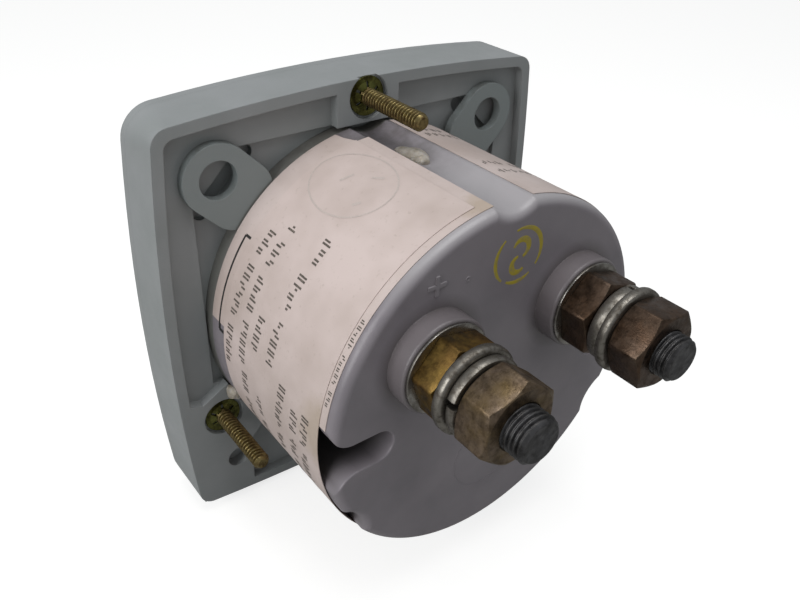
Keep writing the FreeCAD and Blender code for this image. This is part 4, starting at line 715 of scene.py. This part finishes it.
def ring_rows(profile: Iterable[tuple[float, float]], centre: tuple[float, float], segments: int,
              reach: Callable[[float, float, float], float] | None = None) -> list[list[Point]]:
    """Turns a profile of radius and Y about an axis along Y.

    Args:
        profile: Radius and Y of each row.
        centre: X and Z of the axis.
        segments: Points round the axis.
        reach: Changes a radius, given the radius, Y and the angle in radians.

    Returns:
        Rows of points.
    """
    rows = []
    for radius, y in profile:
        row = []
        for step in range(segments):
            angle = math.tau * step / segments
            far = reach(radius, y, angle) if reach else radius
            row.append((centre[0] + far * math.cos(angle), y, centre[1] + far * math.sin(angle)))
        rows.append(row)
    return rows


def on_case(angle: float, y: float, radius: float) -> Point:
    """Returns the point at an angle from +X towards +Z, in degrees, on a cylinder about Y."""
    return (radius * math.cos(math.radians(angle)), y, radius * math.sin(math.radians(angle)))


@dataclass
class ThreadedRod:
    """A rod along Y with a real helical 60 degree thread and a chamfered end."""

    name: str
    finish: Finish
    centre: tuple[float, float]
    radius: float
    pitch: float
    root: float
    thread_start: float
    end: float
    chamfer: float
    head: tuple[tuple[float, float], ...] = ()
    segments: int = 48
    depth_share: float = 0.58
    root_width: float = 1.25
    flank_slope: float = 3.4
    rows_per_pitch: int = 12
    axis_radius: float = 0.05
    end_share: float = 0.93

    def threaded(self, radius: float, y: float, angle: float) -> float:
        """Cuts the thread into a radius that stands on the shank.

        Args:
            radius: Radius of the plain rod in millimetres.
            y: Place along the rod in millimetres.
            angle: Place round the rod in radians.

        Returns:
            The radius that is left.
        """
        if y < self.thread_start or radius < self.radius - self.chamfer - 0.01:
            return radius
        phase = ((y - self.thread_start) / self.pitch - angle / math.tau) % 1.0
        groove = max(0.0, min(1.0, self.root_width - abs(phase - 0.5) * self.flank_slope))
        run_in = min(1.0, (y - self.thread_start) / self.pitch)
        return min(radius, self.radius - self.pitch * self.depth_share * groove * run_in)

    def build(self) -> bpy.types.Object:
        """Builds the head, shank and thread as one skin.

        Returns:
            The finished rod.
        """
        profile: list[tuple[float, float]] = [(self.axis_radius, self.root)] + list(self.head)
        start = self.head[-1][1] if self.head else self.root
        profile.append((self.radius, start))
        if self.thread_start - start > 0.05:
            profile.append((self.radius, self.thread_start - 0.01))
        top = self.end - self.chamfer
        steps = int((top - self.thread_start) / self.pitch * self.rows_per_pitch)
        profile += [(self.radius, self.thread_start + (top - self.thread_start) * step / steps)
                    for step in range(steps + 1)]
        profile += [(self.radius - self.chamfer * share, top + self.chamfer * share)
                    for share in (0.35, 0.7, 1.0)]
        profile += [((self.radius - self.chamfer) * self.end_share, self.end), (self.axis_radius, self.end)]
        rows = ring_rows(profile, self.centre, self.segments, self.threaded)
        return piece(self.name, grid_mesh(rows), self.finish, smooth_angle=40.0)


@dataclass
class HexNut:
    """A hexagon nut with crowned corners, softened edges and a countersunk thread."""

    name: str
    centre: tuple[float, float]
    low: float
    high: float
    turn: float
    chamfered: bool
    bore: float
    finish: Finish
    corner: float = 7.5
    face_circle: float = 6.3
    slope: float = 30.0
    soft: float = 0.14
    corner_loss: float = 0.09
    sink: float = 0.55
    sink_depth: float = 0.5
    thread_seen: float = 1.2
    segments: int = 180

    def reach(self, angle: float) -> float:
        """Gives the hexagon's reach, with its corners slightly rounded.

        Args:
            angle: Angle about the axis in radians.

        Returns:
            Distance from the axis in millimetres.
        """
        sixth = (math.degrees(angle) - self.turn) % 60.0
        across = self.corner * math.cos(math.radians(30.0)) / math.cos(math.radians(30.0 - sixth))
        return min(across, self.corner - self.corner_loss)

    def build(self) -> bpy.types.Object:
        """Builds the nut ring by ring, so that the cones cut their arcs into its flats.

        Returns:
            The finished nut.
        """
        rise, soft = math.tan(math.radians(self.slope)), self.soft
        sink = self.bore + self.sink
        rows: list[list[Point]] = [[] for _ in range(12)]
        for step in range(self.segments):
            angle = math.tau * step / self.segments
            far = self.reach(angle)
            drop = max(0.0, far - self.face_circle) * rise
            under = drop if self.chamfered else 0.0
            inner = min(self.face_circle, far - soft)
            front = inner if self.chamfered else far - soft
            profile = [(self.bore, self.low + self.thread_seen),
                       (self.bore, self.low + self.sink_depth), (sink, self.low),
                       (front, self.low), (far - soft * 0.3, self.low + under + soft * 0.25),
                       (far, self.low + under + soft), (far, self.high - drop - soft),
                       (far - soft * 0.3, self.high - drop - soft * 0.25), (inner, self.high),
                       (sink, self.high), (self.bore, self.high - self.sink_depth),
                       (self.bore, self.high - self.thread_seen)]
            for row, (radius, y) in zip(rows, profile):
                row.append((self.centre[0] + radius * math.cos(angle), y,
                            self.centre[1] + radius * math.sin(angle)))
        mesh = grid_mesh(rows + [rows[0]], caps=False)
        bmesh.ops.remove_doubles(mesh, verts=mesh.verts, dist=1e-5)
        return piece(self.name, mesh, self.finish, smooth_angle=24.0)


@dataclass
class FlatWasher:
    """A stamped washer: one edge rolled over by the punch, the other nearly sharp."""

    name: str
    finish: Finish
    centre: tuple[float, float]
    low: float
    high: float
    outer: float
    inner: float
    roll: float = 0.7
    burr: float = 0.1

    def build(self) -> bpy.types.Object:
        """Builds the washer from its turned section.

        Returns:
            The finished washer.
        """
        roll = min(self.roll, (self.high - self.low) * 0.4)
        profile = [(self.inner, self.low), (self.outer - roll * 0.6, self.low),
                   (self.outer - roll * 0.15, self.low + roll * 0.2),
                   (self.outer, self.low + roll * 0.6), (self.outer, self.high - roll)]
        profile += [(self.outer - roll * (1 - math.cos(turn)), self.high - roll * (1 - math.sin(turn)))
                    for turn in (0.5, 1.0, 1.5)]
        profile += [(self.inner + self.burr, self.high), (self.inner, self.high - self.burr),
                    (self.inner, self.low)]
        mesh = grid_mesh(ring_rows(profile, self.centre, 96), caps=False)
        bmesh.ops.remove_doubles(mesh, verts=mesh.verts, dist=1e-5)
        return piece(self.name, mesh, self.finish)


@dataclass
class SplitWasher:
    """A spring washer: one turn of squarish wire whose cut ends stand apart."""

    name: str
    centre: tuple[float, float]
    low: float
    high: float
    split: float
    outer: float = 6.9
    inner: float = 4.1
    rise: float = 0.35
    gap: float = 9.0
    soft: float = 0.5
    burr: float = 0.08
    steps: int = 90

    def build(self) -> bpy.types.Object:
        """Sweeps the wire's section round from one cut end to the other.

        Returns:
            The finished washer.
        """
        rows = []
        thick, soft = self.high - self.low - self.rise, self.soft
        for step in range(self.steps + 1):
            share = step / self.steps
            angle = math.radians(self.split + self.gap / 2 + (360.0 - self.gap) * share)
            base = self.low + self.rise * share
            top = base + thick
            section = [(self.inner, base + self.burr), (self.outer - soft, base),
                       (self.outer - soft * 0.3, base + soft * 0.3), (self.outer, base + soft),
                       (self.outer, top - soft), (self.outer - soft * 0.3, top - soft * 0.3),
                       (self.outer - soft, top), (self.inner, top - self.burr)]
            rows.append([(self.centre[0] + radius * math.cos(angle), y,
                          self.centre[1] + radius * math.sin(angle)) for radius, y in section])
        return piece(self.name, grid_mesh(rows), WASHER_ZINC)


@dataclass
class Terminal:
    """One terminal: stud, base washer, two nuts and the washers between them."""

    side: str
    x: float
    inner_nut: tuple[float, float]
    flat: tuple[float, float]
    split: tuple[float, float]
    outer_nut: tuple[float, float]
    inner_turn: float
    outer_turn: float
    split_angle: float
    finishes: dict[str, Finish]
    end: float = 63.8
    radius: float = 3.95
    pitch: float = 0.9
    chamfer: float = 0.65
    root: float = 33.8
    head_top: float = 37.4
    head_radius: float = 6.55
    thread_start: float = 44.2
    base: tuple[float, float] = (43.6, 44.1)
    base_radius: float = 8.0
    base_bore: float = 4.0
    base_roll: float = 0.12
    washer_radius: float = 7.7
    washer_bore: float = 4.05
    nut_bore: float = 3.6

    def build(self) -> None:
        """Builds each piece over its CAD node."""
        centre = (self.x, TERMINAL_Z)
        head = ((self.head_radius, self.root), (self.head_radius, self.head_top))
        stud = ThreadedRod(f"{self.side}_threaded_terminal", STUD_BRASS, centre, self.radius,
                           self.pitch, self.root, self.thread_start, self.end, self.chamfer, head,
                           segments=64).build()
        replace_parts(stud, f"{self.side}_terminal_stud")
        base = FlatWasher(f"{self.side}_tinned_washer", BASE_TIN, centre, *self.base, self.base_radius,
                          self.base_bore, self.base_roll).build()
        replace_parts(base, f"{self.side}_base_washer")
        for name, (low, high), turn, chamfered in (("inner", self.inner_nut, self.inner_turn, False),
                                                   ("outer", self.outer_nut, self.outer_turn, True)):
            nut = HexNut(f"{self.side}_{name}_hex_nut", centre, low, high, turn, chamfered,
                         self.nut_bore, self.finishes[name]).build()
            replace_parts(nut, f"{self.side}_{name}_nut")
        flat = FlatWasher(f"{self.side}_stamped_washer", WASHER_ZINC, centre, *self.flat,
                          self.washer_radius, self.washer_bore).build()
        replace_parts(flat, f"{self.side}_flat_washer")
        split = SplitWasher(f"{self.side}_split_washer", centre, *self.split, self.split_angle).build()
        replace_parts(split, f"{self.side}_spring_washer")


@dataclass
class MountingStuds:
    """Three zinc plated studs with a fine thread, flanged inside the bezel."""

    radius: float = 1.63
    pitch: float = 0.794
    chamfer: float = 0.6
    root: float = -3.8
    flange_top: float = -2.8
    flange_radius: float = 2.95
    thread_start: float = -0.6
    end: float = 15.9

    def build(self) -> None:
        """Builds the three studs, which together replace their CAD node."""
        head = ((self.flange_radius, self.root), (self.flange_radius, self.flange_top))
        for count, angle in enumerate(STUD_ANGLES):
            x, _, z = on_case(angle, 0.0, STUD_CIRCLE)
            stud = ThreadedRod(f"mounting_stud_{count + 1}", STUD_ZINC, (x, z), self.radius, self.pitch,
                               self.root, self.thread_start, self.end, self.chamfer, head,
                               segments=40).build()
            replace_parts(stud, "mounting_studs")


@dataclass
class CurvedLabel:
    """A paper label wrapped on the round case, from one angle to another."""

    name: str
    node: str
    finish: Finish
    start: float
    stop: float
    front: float
    rear: float
    lift: float = 0.0
    thickness: float = 0.1
    step: float = 1.0
    ripple: float = 0.018
    clearance: float = 0.025
    trims: list[tuple[tuple[float, float], ...]] = field(default_factory=list)

    def standing(self, angle: float, y: float) -> float:
        """Returns how far the sheet stands off the case, with its small ripples."""
        ripple = self.ripple * math.sin(angle * 0.9 + y * 0.31) * math.sin(y * 0.8 + angle * 0.13)
        return CASE_RADIUS + self.lift + self.clearance + abs(ripple)

    def build(self) -> None:
        """Cuts the sheet flat, trims it, then bends it round the case."""
        mesh = bmesh.new()
        across = int((self.stop - self.start) / self.step)
        along = int(self.rear - self.front)
        rows = [[(self.start + (self.stop - self.start) * i / across,
                  self.front + (self.rear - self.front) * j / along, 0.0) for i in range(across + 1)]
                for j in range(along + 1)]
        grid_mesh(rows, closed_rows=False, caps=False, into=mesh)
        for trim in self.trims:
            self.trim_away(mesh, trim)
        solid = bmesh.ops.extrude_face_region(mesh, geom=mesh.faces[:])
        for vert in (item for item in solid["geom"] if isinstance(item, bmesh.types.BMVert)):
            vert.co.z = 1.0
        for vert in mesh.verts:
            angle, y, level = vert.co
            vert.co = on_case(angle, y, self.standing(angle, y) + level * self.thickness)
        made = piece(self.name, mesh, self.finish, smooth_angle=50.0)
        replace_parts(made, self.node)

    @staticmethod
    def trim_away(mesh: bmesh.types.BMesh, outline: Sequence[tuple[float, float]]) -> None:
        """Removes the sheet inside a convex outline.

        Args:
            mesh: Flat sheet of angle and Y.
            outline: Corners of the part to remove, counter-clockwise.
        """
        sides = list(zip(outline, tuple(outline[1:]) + (outline[0],)))
        for (x, y), (x_next, y_next) in sides:
            inward = Vector((y - y_next, x_next - x, 0.0))
            bmesh.ops.bisect_plane(mesh, geom=mesh.verts[:] + mesh.edges[:] + mesh.faces[:],
                                   plane_co=(x, y, 0.0), plane_no=inward)
        inside = []
        for face in mesh.faces:
            middle = face.calc_center_median()
            if all((x_next - x) * (middle.y - y) > (y_next - y) * (middle.x - x)
                   for (x, y), (x_next, y_next) in sides):
                inside.append(face)
        bmesh.ops.delete(mesh, geom=inside, context="FACES")


@dataclass
class LabelPrint:
    """Plain blocks in rows where a label carries print, and a few ruled lines."""

    name: str
    radius: float
    finish: Finish = BLACK_INK
    seed: int = 7
    mesh: bmesh.types.BMesh = field(default_factory=bmesh.new)

    def patch(self, angles: tuple[float, float], ys: tuple[float, float]) -> None:
        """Adds one small rectangle of ink that follows the case.

        Args:
            angles: Start and end angle in degrees.
            ys: Start and end Y in millimetres.
        """
        steps = max(1, int(abs(angles[1] - angles[0]) / 2.0))
        rows = [[on_case(angles[0] + (angles[1] - angles[0]) * step / steps, y, self.radius)
                 for step in range(steps + 1)] for y in ys]
        grid_mesh(rows, closed_rows=False, caps=False, into=self.mesh)

    def row(self, start: float, stop: float, ys: tuple[float, float], height: float,
            letter: float = 2.9) -> None:
        """Adds a row of small bars, grouped like words.

        Args:
            start: First angle in degrees.
            stop: Last angle in degrees.
            ys: Middle of the row in millimetres at its start and at its end.
            height: Height of the bars in millimetres.
            letter: Width of one pair of bars in degrees.
        """
        chance = random.Random(self.seed + int(ys[0] * 10))
        angle = start
        while angle < stop:
            for _ in range(chance.randint(3, 6)):
                if angle >= stop:
                    break
                middle = ys[0] + (ys[1] - ys[0]) * (angle - start) / (stop - start)
                for offset in (0.0, 0.36):
                    low = middle - height / 2 + chance.choice((0.0, 0.0, height * 0.4))
                    high = middle + height / 2 - chance.choice((0.0, 0.0, height * 0.3))
                    near = angle + offset * letter
                    self.patch((near, near + letter * 0.2), (low, high))
                angle += letter
            angle += letter * 0.9

    def stroke(self, points: Sequence[tuple[float, float]], width: float) -> None:
        """Adds a ruled line.

        Args:
            points: Angle in degrees and Y in millimetres of each of its points.
            width: Its width in millimetres.
        """
        arc = math.radians(1.0) * self.radius
        for (a0, y0), (a1, y1) in zip(points, points[1:]):
            along = Vector(((a1 - a0) * arc, y1 - y0)).normalized() * (width / 2)
            side = Vector((-along.y, along.x))
            count = max(1, int(abs(a1 - a0) / 2.0))
            rows = []
            for way in (-1, 1):
                rows.append([on_case(a0 + (a1 - a0) * k / count + way * side.x / arc,
                                     y0 + (y1 - y0) * k / count + way * side.y, self.radius)
                             for k in range(count + 1)])
            grid_mesh(rows, closed_rows=False, caps=False, into=self.mesh)

    def build(self) -> None:
        """Makes the print one piece."""
        piece(self.name, self.mesh, self.finish)


@dataclass
class Labels:
    """The three labels and what is printed on them."""

    under_radius: float = CASE_RADIUS + 0.15
    upper_radius: float = CASE_RADIUS + 0.3

    def build(self) -> None:
        """Builds the sheets first, then the print just above them."""
        corner = ((77.5, -1.0), (90.0, -1.0), (90.0, 5.4), (80.0, 5.2), (78.3, 2.4))
        CurvedLabel("side_paper_label", "side_label", UNDER_PAPER, start=98.0, stop=176.0,
                    front=0.1, rear=37.9).build()
        CurvedLabel("under_paper_label", "under_label", UNDER_PAPER, start=8.2, stop=83.8,
                    front=0.1, rear=37.9, trims=[corner]).build()
        CurvedLabel("over_paper_label", "upper_label", UPPER_PAPER, start=-61.8, stop=79.8,
                    front=4.9, rear=36.3, lift=0.13).build()
        line = LabelPrint("label_corner_line", self.under_radius, LINE_INK)
        line.stroke([(36.9, 4.6), (36.9, 2.9), (5.9, 2.9), (5.9, 4.6)], 0.5)
        line.build()
        edge = LabelPrint("label_edge_print", self.under_radius)
        edge.row(15.0, 40.0, (37.1, 37.1), height=0.9, letter=1.7)
        edge.build()
        ink = LabelPrint("label_print", self.upper_radius)
        for start, stop, ys, height in (
                (-2.0, 45.5, (6.6, 9.3), 2.0), (3.0, 46.8, (11.7, 12.6), 2.0),
                (11.0, 22.0, (15.6, 16.3), 2.0), (11.0, 50.2, (20.7, 21.5), 2.1),
                (-22.0, 0.0, (11.0, 12.6), 1.9), (-26.0, -4.0, (15.4, 16.8), 1.9),
                (-30.0, 9.0, (20.8, 25.6), 2.0), (-34.0, 4.0, (25.4, 29.4), 2.0),
                (-38.0, 10.0, (29.2, 33.0), 2.0)):
            ink.row(start, stop, ys, height)
        ink.build()
        side = LabelPrint("side_label_print", self.under_radius, seed=19)
        for y in (6.0, 9.0, 24.0, 28.0):
            side.row(101.0, 150.0, (y, y), height=1.6)
        side.build()
        stamp = LabelPrint("faint_oval_stamp", self.upper_radius, FAINT_INK)
        oval = [(66.5 + 11.5 * math.cos(math.tau * k / 40), 15.0 + 9.3 * math.sin(math.tau * k / 40))
                for k in range(41)]
        for points, width in ((oval, 0.3), ([(65.0, 12.6), (69.0, 13.6)], 0.5),
                              ([(71.0, 17.0), (73.0, 19.0)], 0.5), ([(61.0, 19.4), (63.0, 20.4)], 0.6)):
            stamp.stroke(points, width)
        stamp.build()


@dataclass
class CaseMarks:
    """What is on the rear face of the case: moulding marks and a dab of marking paint."""

    face: float = 39.8
    paint_height: float = 0.03

    def ring(self, mesh: bmesh.types.BMesh, centre: tuple[float, float], radius: float, width: float,
             height: float, start: float = 0.0, stop: float = 360.0) -> None:
        """Adds a low curved ridge or stroke on the rear face.

        Args:
            mesh: Mesh to add to.
            centre: X and Z of the arc.
            radius: Radius of its middle.
            width: Width of the stroke.
            height: How far it stands off the face.
            start: First angle in degrees.
            stop: Last angle in degrees.
        """
        steps = max(4, int((stop - start) / 5))
        rows = []
        for step in range(steps + 1):
            angle = math.radians(start + (stop - start) * step / steps)
            taper = 1.0 if stop - start >= 359.0 else 0.45 + 0.55 * math.sin(math.pi * step / steps)
            row = []
            for offset, level in ((-0.5, -0.05), (-0.25, 1.0), (0.25, 1.0), (0.5, -0.05)):
                far = radius + offset * width * taper
                row.append((centre[0] + far * math.cos(angle), self.face + level * height,
                            centre[1] + far * math.sin(angle)))
            rows.append(row)
        grid_mesh(rows, closed_rows=False, caps=False, into=mesh)

    def build(self) -> None:
        """Builds the moulding marks and the paint mark."""
        marks = bmesh.new()
        self.ring(marks, (0.2, -16.2), radius=7.9, width=0.22, height=0.06)
        self.ring(marks, (9.4, 24.5), radius=0.35, width=0.4, height=0.08)
        piece("mould_marks", marks, CASE)
        paint = bmesh.new()
        for centre, radius, width, start, stop in (
                ((-1.4, 25.2), 4.9, 0.9, 75.0, 215.0), ((-1.4, 25.2), 4.9, 0.8, 235.0, 300.0),
                ((-1.0, 25.2), 4.8, 0.8, -50.0, 50.0), ((-1.6, 26.4), 1.7, 1.2, 20.0, 250.0),
                ((-1.4, 23.6), 1.5, 1.2, -140.0, 80.0)):
            self.ring(paint, centre, radius, width, self.paint_height, start, stop)
        piece("olive_paint_mark", paint, MARK_PAINT)


@dataclass
class GlueDabs:
    """Two dried runs of clear glue, one in the top flute and one beside a lower stud."""

    seed: int = 3
    lumps: int = 6
    lump_share: float = 0.06
    shrink: float = 0.9

    def blob(self, mesh: bmesh.types.BMesh, centre: Point, size: Point, turn: float) -> None:
        """Adds one lumpy dab.

        Args:
            mesh: Mesh to add to.
            centre: Middle of the dab in millimetres.
            size: Half sizes in millimetres.
            turn: Turn about Y in degrees.
        """
        chance = random.Random(self.seed)
        made = bmesh.ops.create_icosphere(mesh, subdivisions=4, radius=1.0)
        waves = [(Vector([chance.uniform(-1, 1) for _ in range(3)]).normalized(),
                  chance.uniform(2.0, 5.0), chance.uniform(0, 6.0)) for _ in range(self.lumps)]
        spin = Matrix.Rotation(math.radians(turn), 3, "Y")
        for vert in made["verts"]:
            lump = 1.0 + sum(self.lump_share * math.sin(way.dot(vert.co) * rate + shift)
                             for way, rate, shift in waves)
            spot = Vector(co * half for co, half in zip(vert.co, size)) * lump * self.shrink
            vert.co = spin @ spot + Vector(centre)

    def build(self) -> None:
        """Builds both dabs as one piece over their CAD node."""
        mesh = bmesh.new()
        self.blob(mesh, (0.0, 13.2, 32.9), (2.1, 4.4, 1.6), 0.0)
        self.blob(mesh, (0.7, 16.3, 32.9), (1.6, 2.0, 1.5), 20.0)
        for angle, y, radius, size in ((-23.2, 1.0, 34.9, (1.3, 2.2, 1.9)),
                                       (-24.6, 0.4, 35.2, (1.2, 1.5, 1.4)),
                                       (-21.9, 1.9, 34.8, (1.0, 1.5, 1.5))):
            x, _, z = on_case(angle, 0.0, radius)
            self.blob(mesh, (x, y, z), size, 10.0)
        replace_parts(piece("dried_glue", mesh, GLUE), "glue_dabs")


@dataclass
class DialScale:
    """The printed scale: an arc, its divisions and plain numbers."""

    face: float = -5.4
    radius: float = 33.0
    sweep: float = 90.0
    divisions: int = 50
    major: float = 5.0
    middle: float = 3.6
    minor: float = 2.4
    line: float = 0.35
    rim_line: float = 0.25
    fine_line: float = 0.2
    ink_lift: float = 0.02
    number_gap: float = 8.5
    number_size: float = 4.2
    numbers: tuple[str, ...] = ("0", "20", "40", "60", "80", "100")

    def spot(self, angle: float, radius: float) -> tuple[float, float]:
        """Returns X and Z at an angle from straight up, clockwise from the front."""
        turn = math.radians(90.0 - angle)
        return radius * math.cos(turn), PIVOT_Z + radius * math.sin(turn)

    def build(self) -> None:
        """Prints the arc, the ticks and the numbers on the dial."""
        mesh = bmesh.new()
        level = self.face - self.ink_lift
        half = self.sweep / 2
        for inner, wide in ((self.radius, self.line), (self.radius + self.major, self.rim_line)):
            rows = []
            for radius in (inner, inner + wide):
                rows.append([(x, level, z) for x, z in (self.spot(-half + self.sweep * k / 90, radius)
                                                       for k in range(91))])
            grid_mesh(rows, closed_rows=False, caps=False, into=mesh)
        for tick in range(self.divisions + 1):
            angle = -half + self.sweep * tick / self.divisions
            wide = self.fine_line if tick % 10 else self.line
            top = self.radius + (self.minor if tick % 5 else self.middle if tick % 10 else self.major)
            spread = math.degrees(wide / self.radius)
            corners = [self.spot(angle - spread, self.radius), self.spot(angle + spread, self.radius),
                       self.spot(angle + spread * 0.8, top), self.spot(angle - spread * 0.8, top)]
            mesh.faces.new([mesh.verts.new((x, level, z)) for x, z in corners])
        piece("dial_scale_print", mesh, DIAL_INK)
        for count, text in enumerate(self.numbers):
            angle = -half + self.sweep * count / (len(self.numbers) - 1)
            self.number(count, text, *self.spot(angle, self.radius + self.number_gap))

    def number(self, count: int, text: str, x: float, z: float) -> None:
        """Prints one number.

        Args:
            count: Its place along the scale.
            text: The digits.
            x: Middle of the number in millimetres.
            z: Middle of the number in millimetres.
        """
        curve = bpy.data.curves.new(f"dial_number_{count}", "FONT")
        curve.body = text
        curve.size = self.number_size * MM
        curve.align_x = "CENTER"
        curve.align_y = "CENTER"
        holder = in_scene(f"number_shape_{count}", curve)
        bpy.context.view_layer.update()
        data = bpy.data.meshes.new_from_object(holder)
        bpy.data.objects.remove(holder)
        mesh = bmesh.new()
        mesh.from_mesh(data)
        bpy.data.meshes.remove(data)
        for vert in mesh.verts:
            vert.co = Vector((x + vert.co.x / MM, self.face - self.ink_lift, z + vert.co.y / MM))
        piece(f"dial_number_{count}", mesh, DIAL_INK)


@dataclass
class CadFinishes:
    """The finishes of the CAD pieces whose own shape shows."""

    plan: tuple[tuple[Finish, tuple[str, ...]], ...] = (
        (BEZEL, ("front_bezel", "front_frame")),
        (CASE, ("rear_case",)),
        (WINDOW, ("window_lens",)),
        (DIAL_PAINT, ("dial_plate",)),
        (NICKEL, ("dial_screws", "case_screws", "bridge_screws")),
        (RETAINER_ZINC, ("stud_retainers",)),
        (CLEAN_BRASS, ("pointer_stops", "core_supports", "movement_pillars", "front_bridge",
                       "rear_bridge", "front_posts", "rear_posts", "front_jewel_screw",
                       "rear_jewel_screw", "balance_weights", "spring_collets", "rear_spring_stud",
                       "zero_lever")),
        (SOFT_IRON, ("return_ring",)),
        (MAGNET, ("magnet_core",)),
        (FORMER_SHEET, ("coil_former",)),
        (COPPER, ("coil_winding",)),
        (POLISHED, ("front_staff", "rear_staff")),
        (POINTER_PAINT, ("pointer", "balance_arms")),
        (BRONZE, ("front_hairspring", "rear_hairspring")),
        (BLACK_PLASTIC, ("zero_adjuster",)),
        (SHUNT_BRASS, ("shunt_strip",)),
        (LEAD_SLEEVE, ("positive_lead", "negative_lead")),
        (STUD_ZINC, ("mounting_studs",)),
        (UNDER_PAPER, ("under_label", "side_label")),
        (UPPER_PAPER, ("upper_label",)),
        (GLUE, ("glue_dabs",)),
        (STUD_BRASS, ("positive_terminal_stud", "negative_terminal_stud")),
        (NUT_BRASS, ("positive_inner_nut",)),
        (NUT_DULL, ("positive_outer_nut",)),
        (NUT_DARK, ("negative_inner_nut", "negative_outer_nut")),
        (BASE_TIN, ("positive_base_washer", "negative_base_washer")),
        (WASHER_ZINC, ("positive_flat_washer", "positive_spring_washer", "negative_flat_washer",
                       "negative_spring_washer")),
    )

    def build(self) -> None:
        """Gives every CAD node its finish."""
        for finish, nodes in self.plan:
            finish.cover(*nodes)


@dataclass
class Studio:
    """A pale floor, soft light from above and the camera at the photo's angle."""

    floor: float = -44.3
    reach: float = 4000.0
    glow: float = 0.76
    sky: float = 0.42
    focal: float = 35.028
    camera: Point = (80.634, 112.287, 86.613)
    right: Point = (-0.795054, 0.605353, 0.037907)
    down: Point = (0.307866, 0.456612, -0.834700)
    lit: Point = (0.0, 20.0, 0.0)

    def build(self) -> None:
        """Builds the floor, the light and the camera."""
        self.lay_floor()
        self.light_world()
        for name, spot, size, power in (("top_softbox", (-15.0, 85.0, 440.0), 300.0, 1.04),
                                        ("left_softbox", (400.0, 40.0, 160.0), 260.0, 1.0)):
            self.softbox(name, spot, size, power)
        data = bpy.data.cameras.new("photo_camera")
        data.sensor_width = 36.0
        data.lens = self.focal
        data.clip_start, data.clip_end = 0.01, 10.0
        holder = in_scene("photo_camera", data)
        right, up = Vector(self.right), -Vector(self.down)
        back = right.cross(up).normalized()
        holder.matrix_world = Matrix.Translation(Vector(self.camera) * MM) @ Matrix(
            (right, up, back)).transposed().to_4x4()
        bpy.context.scene.camera = holder

    def lay_floor(self) -> None:
        """Lays a pale floor that is white to the camera and still takes the shadow."""
        mesh = bmesh.new()
        rows = [[(x * self.reach, y * self.reach, self.floor) for x in (-1, 1)] for y in (-1, 1)]
        grid_mesh(rows, closed_rows=False, caps=False, into=mesh)
        bmesh.ops.scale(mesh, vec=(MM, MM, MM), verts=mesh.verts)
        data = bpy.data.meshes.new("studio_floor")
        mesh.to_mesh(data)
        mesh.free()
        floor = in_scene("studio_floor", data)
        paper = bpy.data.materials.new("studio_paper")
        paper.use_nodes = True
        tree = paper.node_tree
        tree.nodes.clear()
        matt = add_node(tree, "BsdfDiffuse", values={"Color": "#A6A6A4"})
        glow = add_node(tree, "Emission", values={"Color": "#FFFFFF", "Strength": self.glow})
        seen = add_node(tree, "AddShader", values={0: matt.outputs[0], 1: glow.outputs[0]})
        rays = add_node(tree, "LightPath")
        straight = add_node(tree, "MixShader", values={
            0: rays.outputs["Is Camera Ray"], 1: matt.outputs[0], 2: seen.outputs[0]})
        add_node(tree, "OutputMaterial", values={"Surface": straight.outputs[0]})
        data.materials.append(paper)

    def light_world(self) -> None:
        """Makes the world white to the eye and softer as a light."""
        world = bpy.data.worlds.new("studio_world")
        bpy.context.scene.world = world
        world.use_nodes = True
        tree = world.node_tree
        tree.nodes.clear()
        rays = add_node(tree, "LightPath")
        direct = add_node(tree, "Math", {"operation": "MAXIMUM"},
                          {0: rays.outputs["Is Camera Ray"], 1: rays.outputs["Is Transmission Ray"]})
        soft = add_node(tree, "Background", values={"Color": "#F2F5F8", "Strength": self.sky})
        white = add_node(tree, "Background", values={"Color": "#FFFFFF", "Strength": 1.0})
        mix = add_node(tree, "MixShader", values={
            0: direct.outputs[0], 1: soft.outputs[0], 2: white.outputs[0]})
        add_node(tree, "OutputWorld", values={"Surface": mix.outputs[0]})

    def softbox(self, name: str, spot: Point, size: float, power: float) -> None:
        """Hangs one square soft light that looks at the meter.

        Args:
            name: Name of the light.
            spot: Its place in millimetres.
            size: Its side in millimetres.
            power: Its power in watts.
        """
        data = bpy.data.lights.new(name, "AREA")
        data.size = size * MM
        data.energy = power
        lamp = in_scene(name, data)
        lamp.location = Vector(spot) * MM
        aim = Vector(self.lit) * MM - lamp.location
        lamp.rotation_euler = aim.to_track_quat("-Z", "Y").to_euler()


def main() -> None:
    """Builds the meter's dress and the studio."""
    Studio().build()
    CadFinishes().build()
    MountingStuds().build()
    Terminal("positive", TERMINAL_X, inner_nut=(44.1, 49.1), flat=(49.1, 50.9), split=(50.9, 53.1),
             outer_nut=(53.1, 59.7), inner_turn=11.8, outer_turn=37.6, split_angle=15.0,
             finishes={"inner": NUT_BRASS, "outer": NUT_DULL}).build()
    Terminal("negative", -TERMINAL_X, inner_nut=(44.1, 49.6), flat=(52.2, 54.0), split=(49.6, 52.2),
             outer_nut=(54.0, 60.6), inner_turn=17.3, outer_turn=8.9, split_angle=100.0,
             finishes={"inner": NUT_DARK, "outer": NUT_DARK}).build()
    Labels().build()
    CaseMarks().build()
    GlueDabs().build()
    DialScale().build()
    bpy.context.scene.view_settings.view_transform = "Standard"


if __name__ == "__main__":
    main()
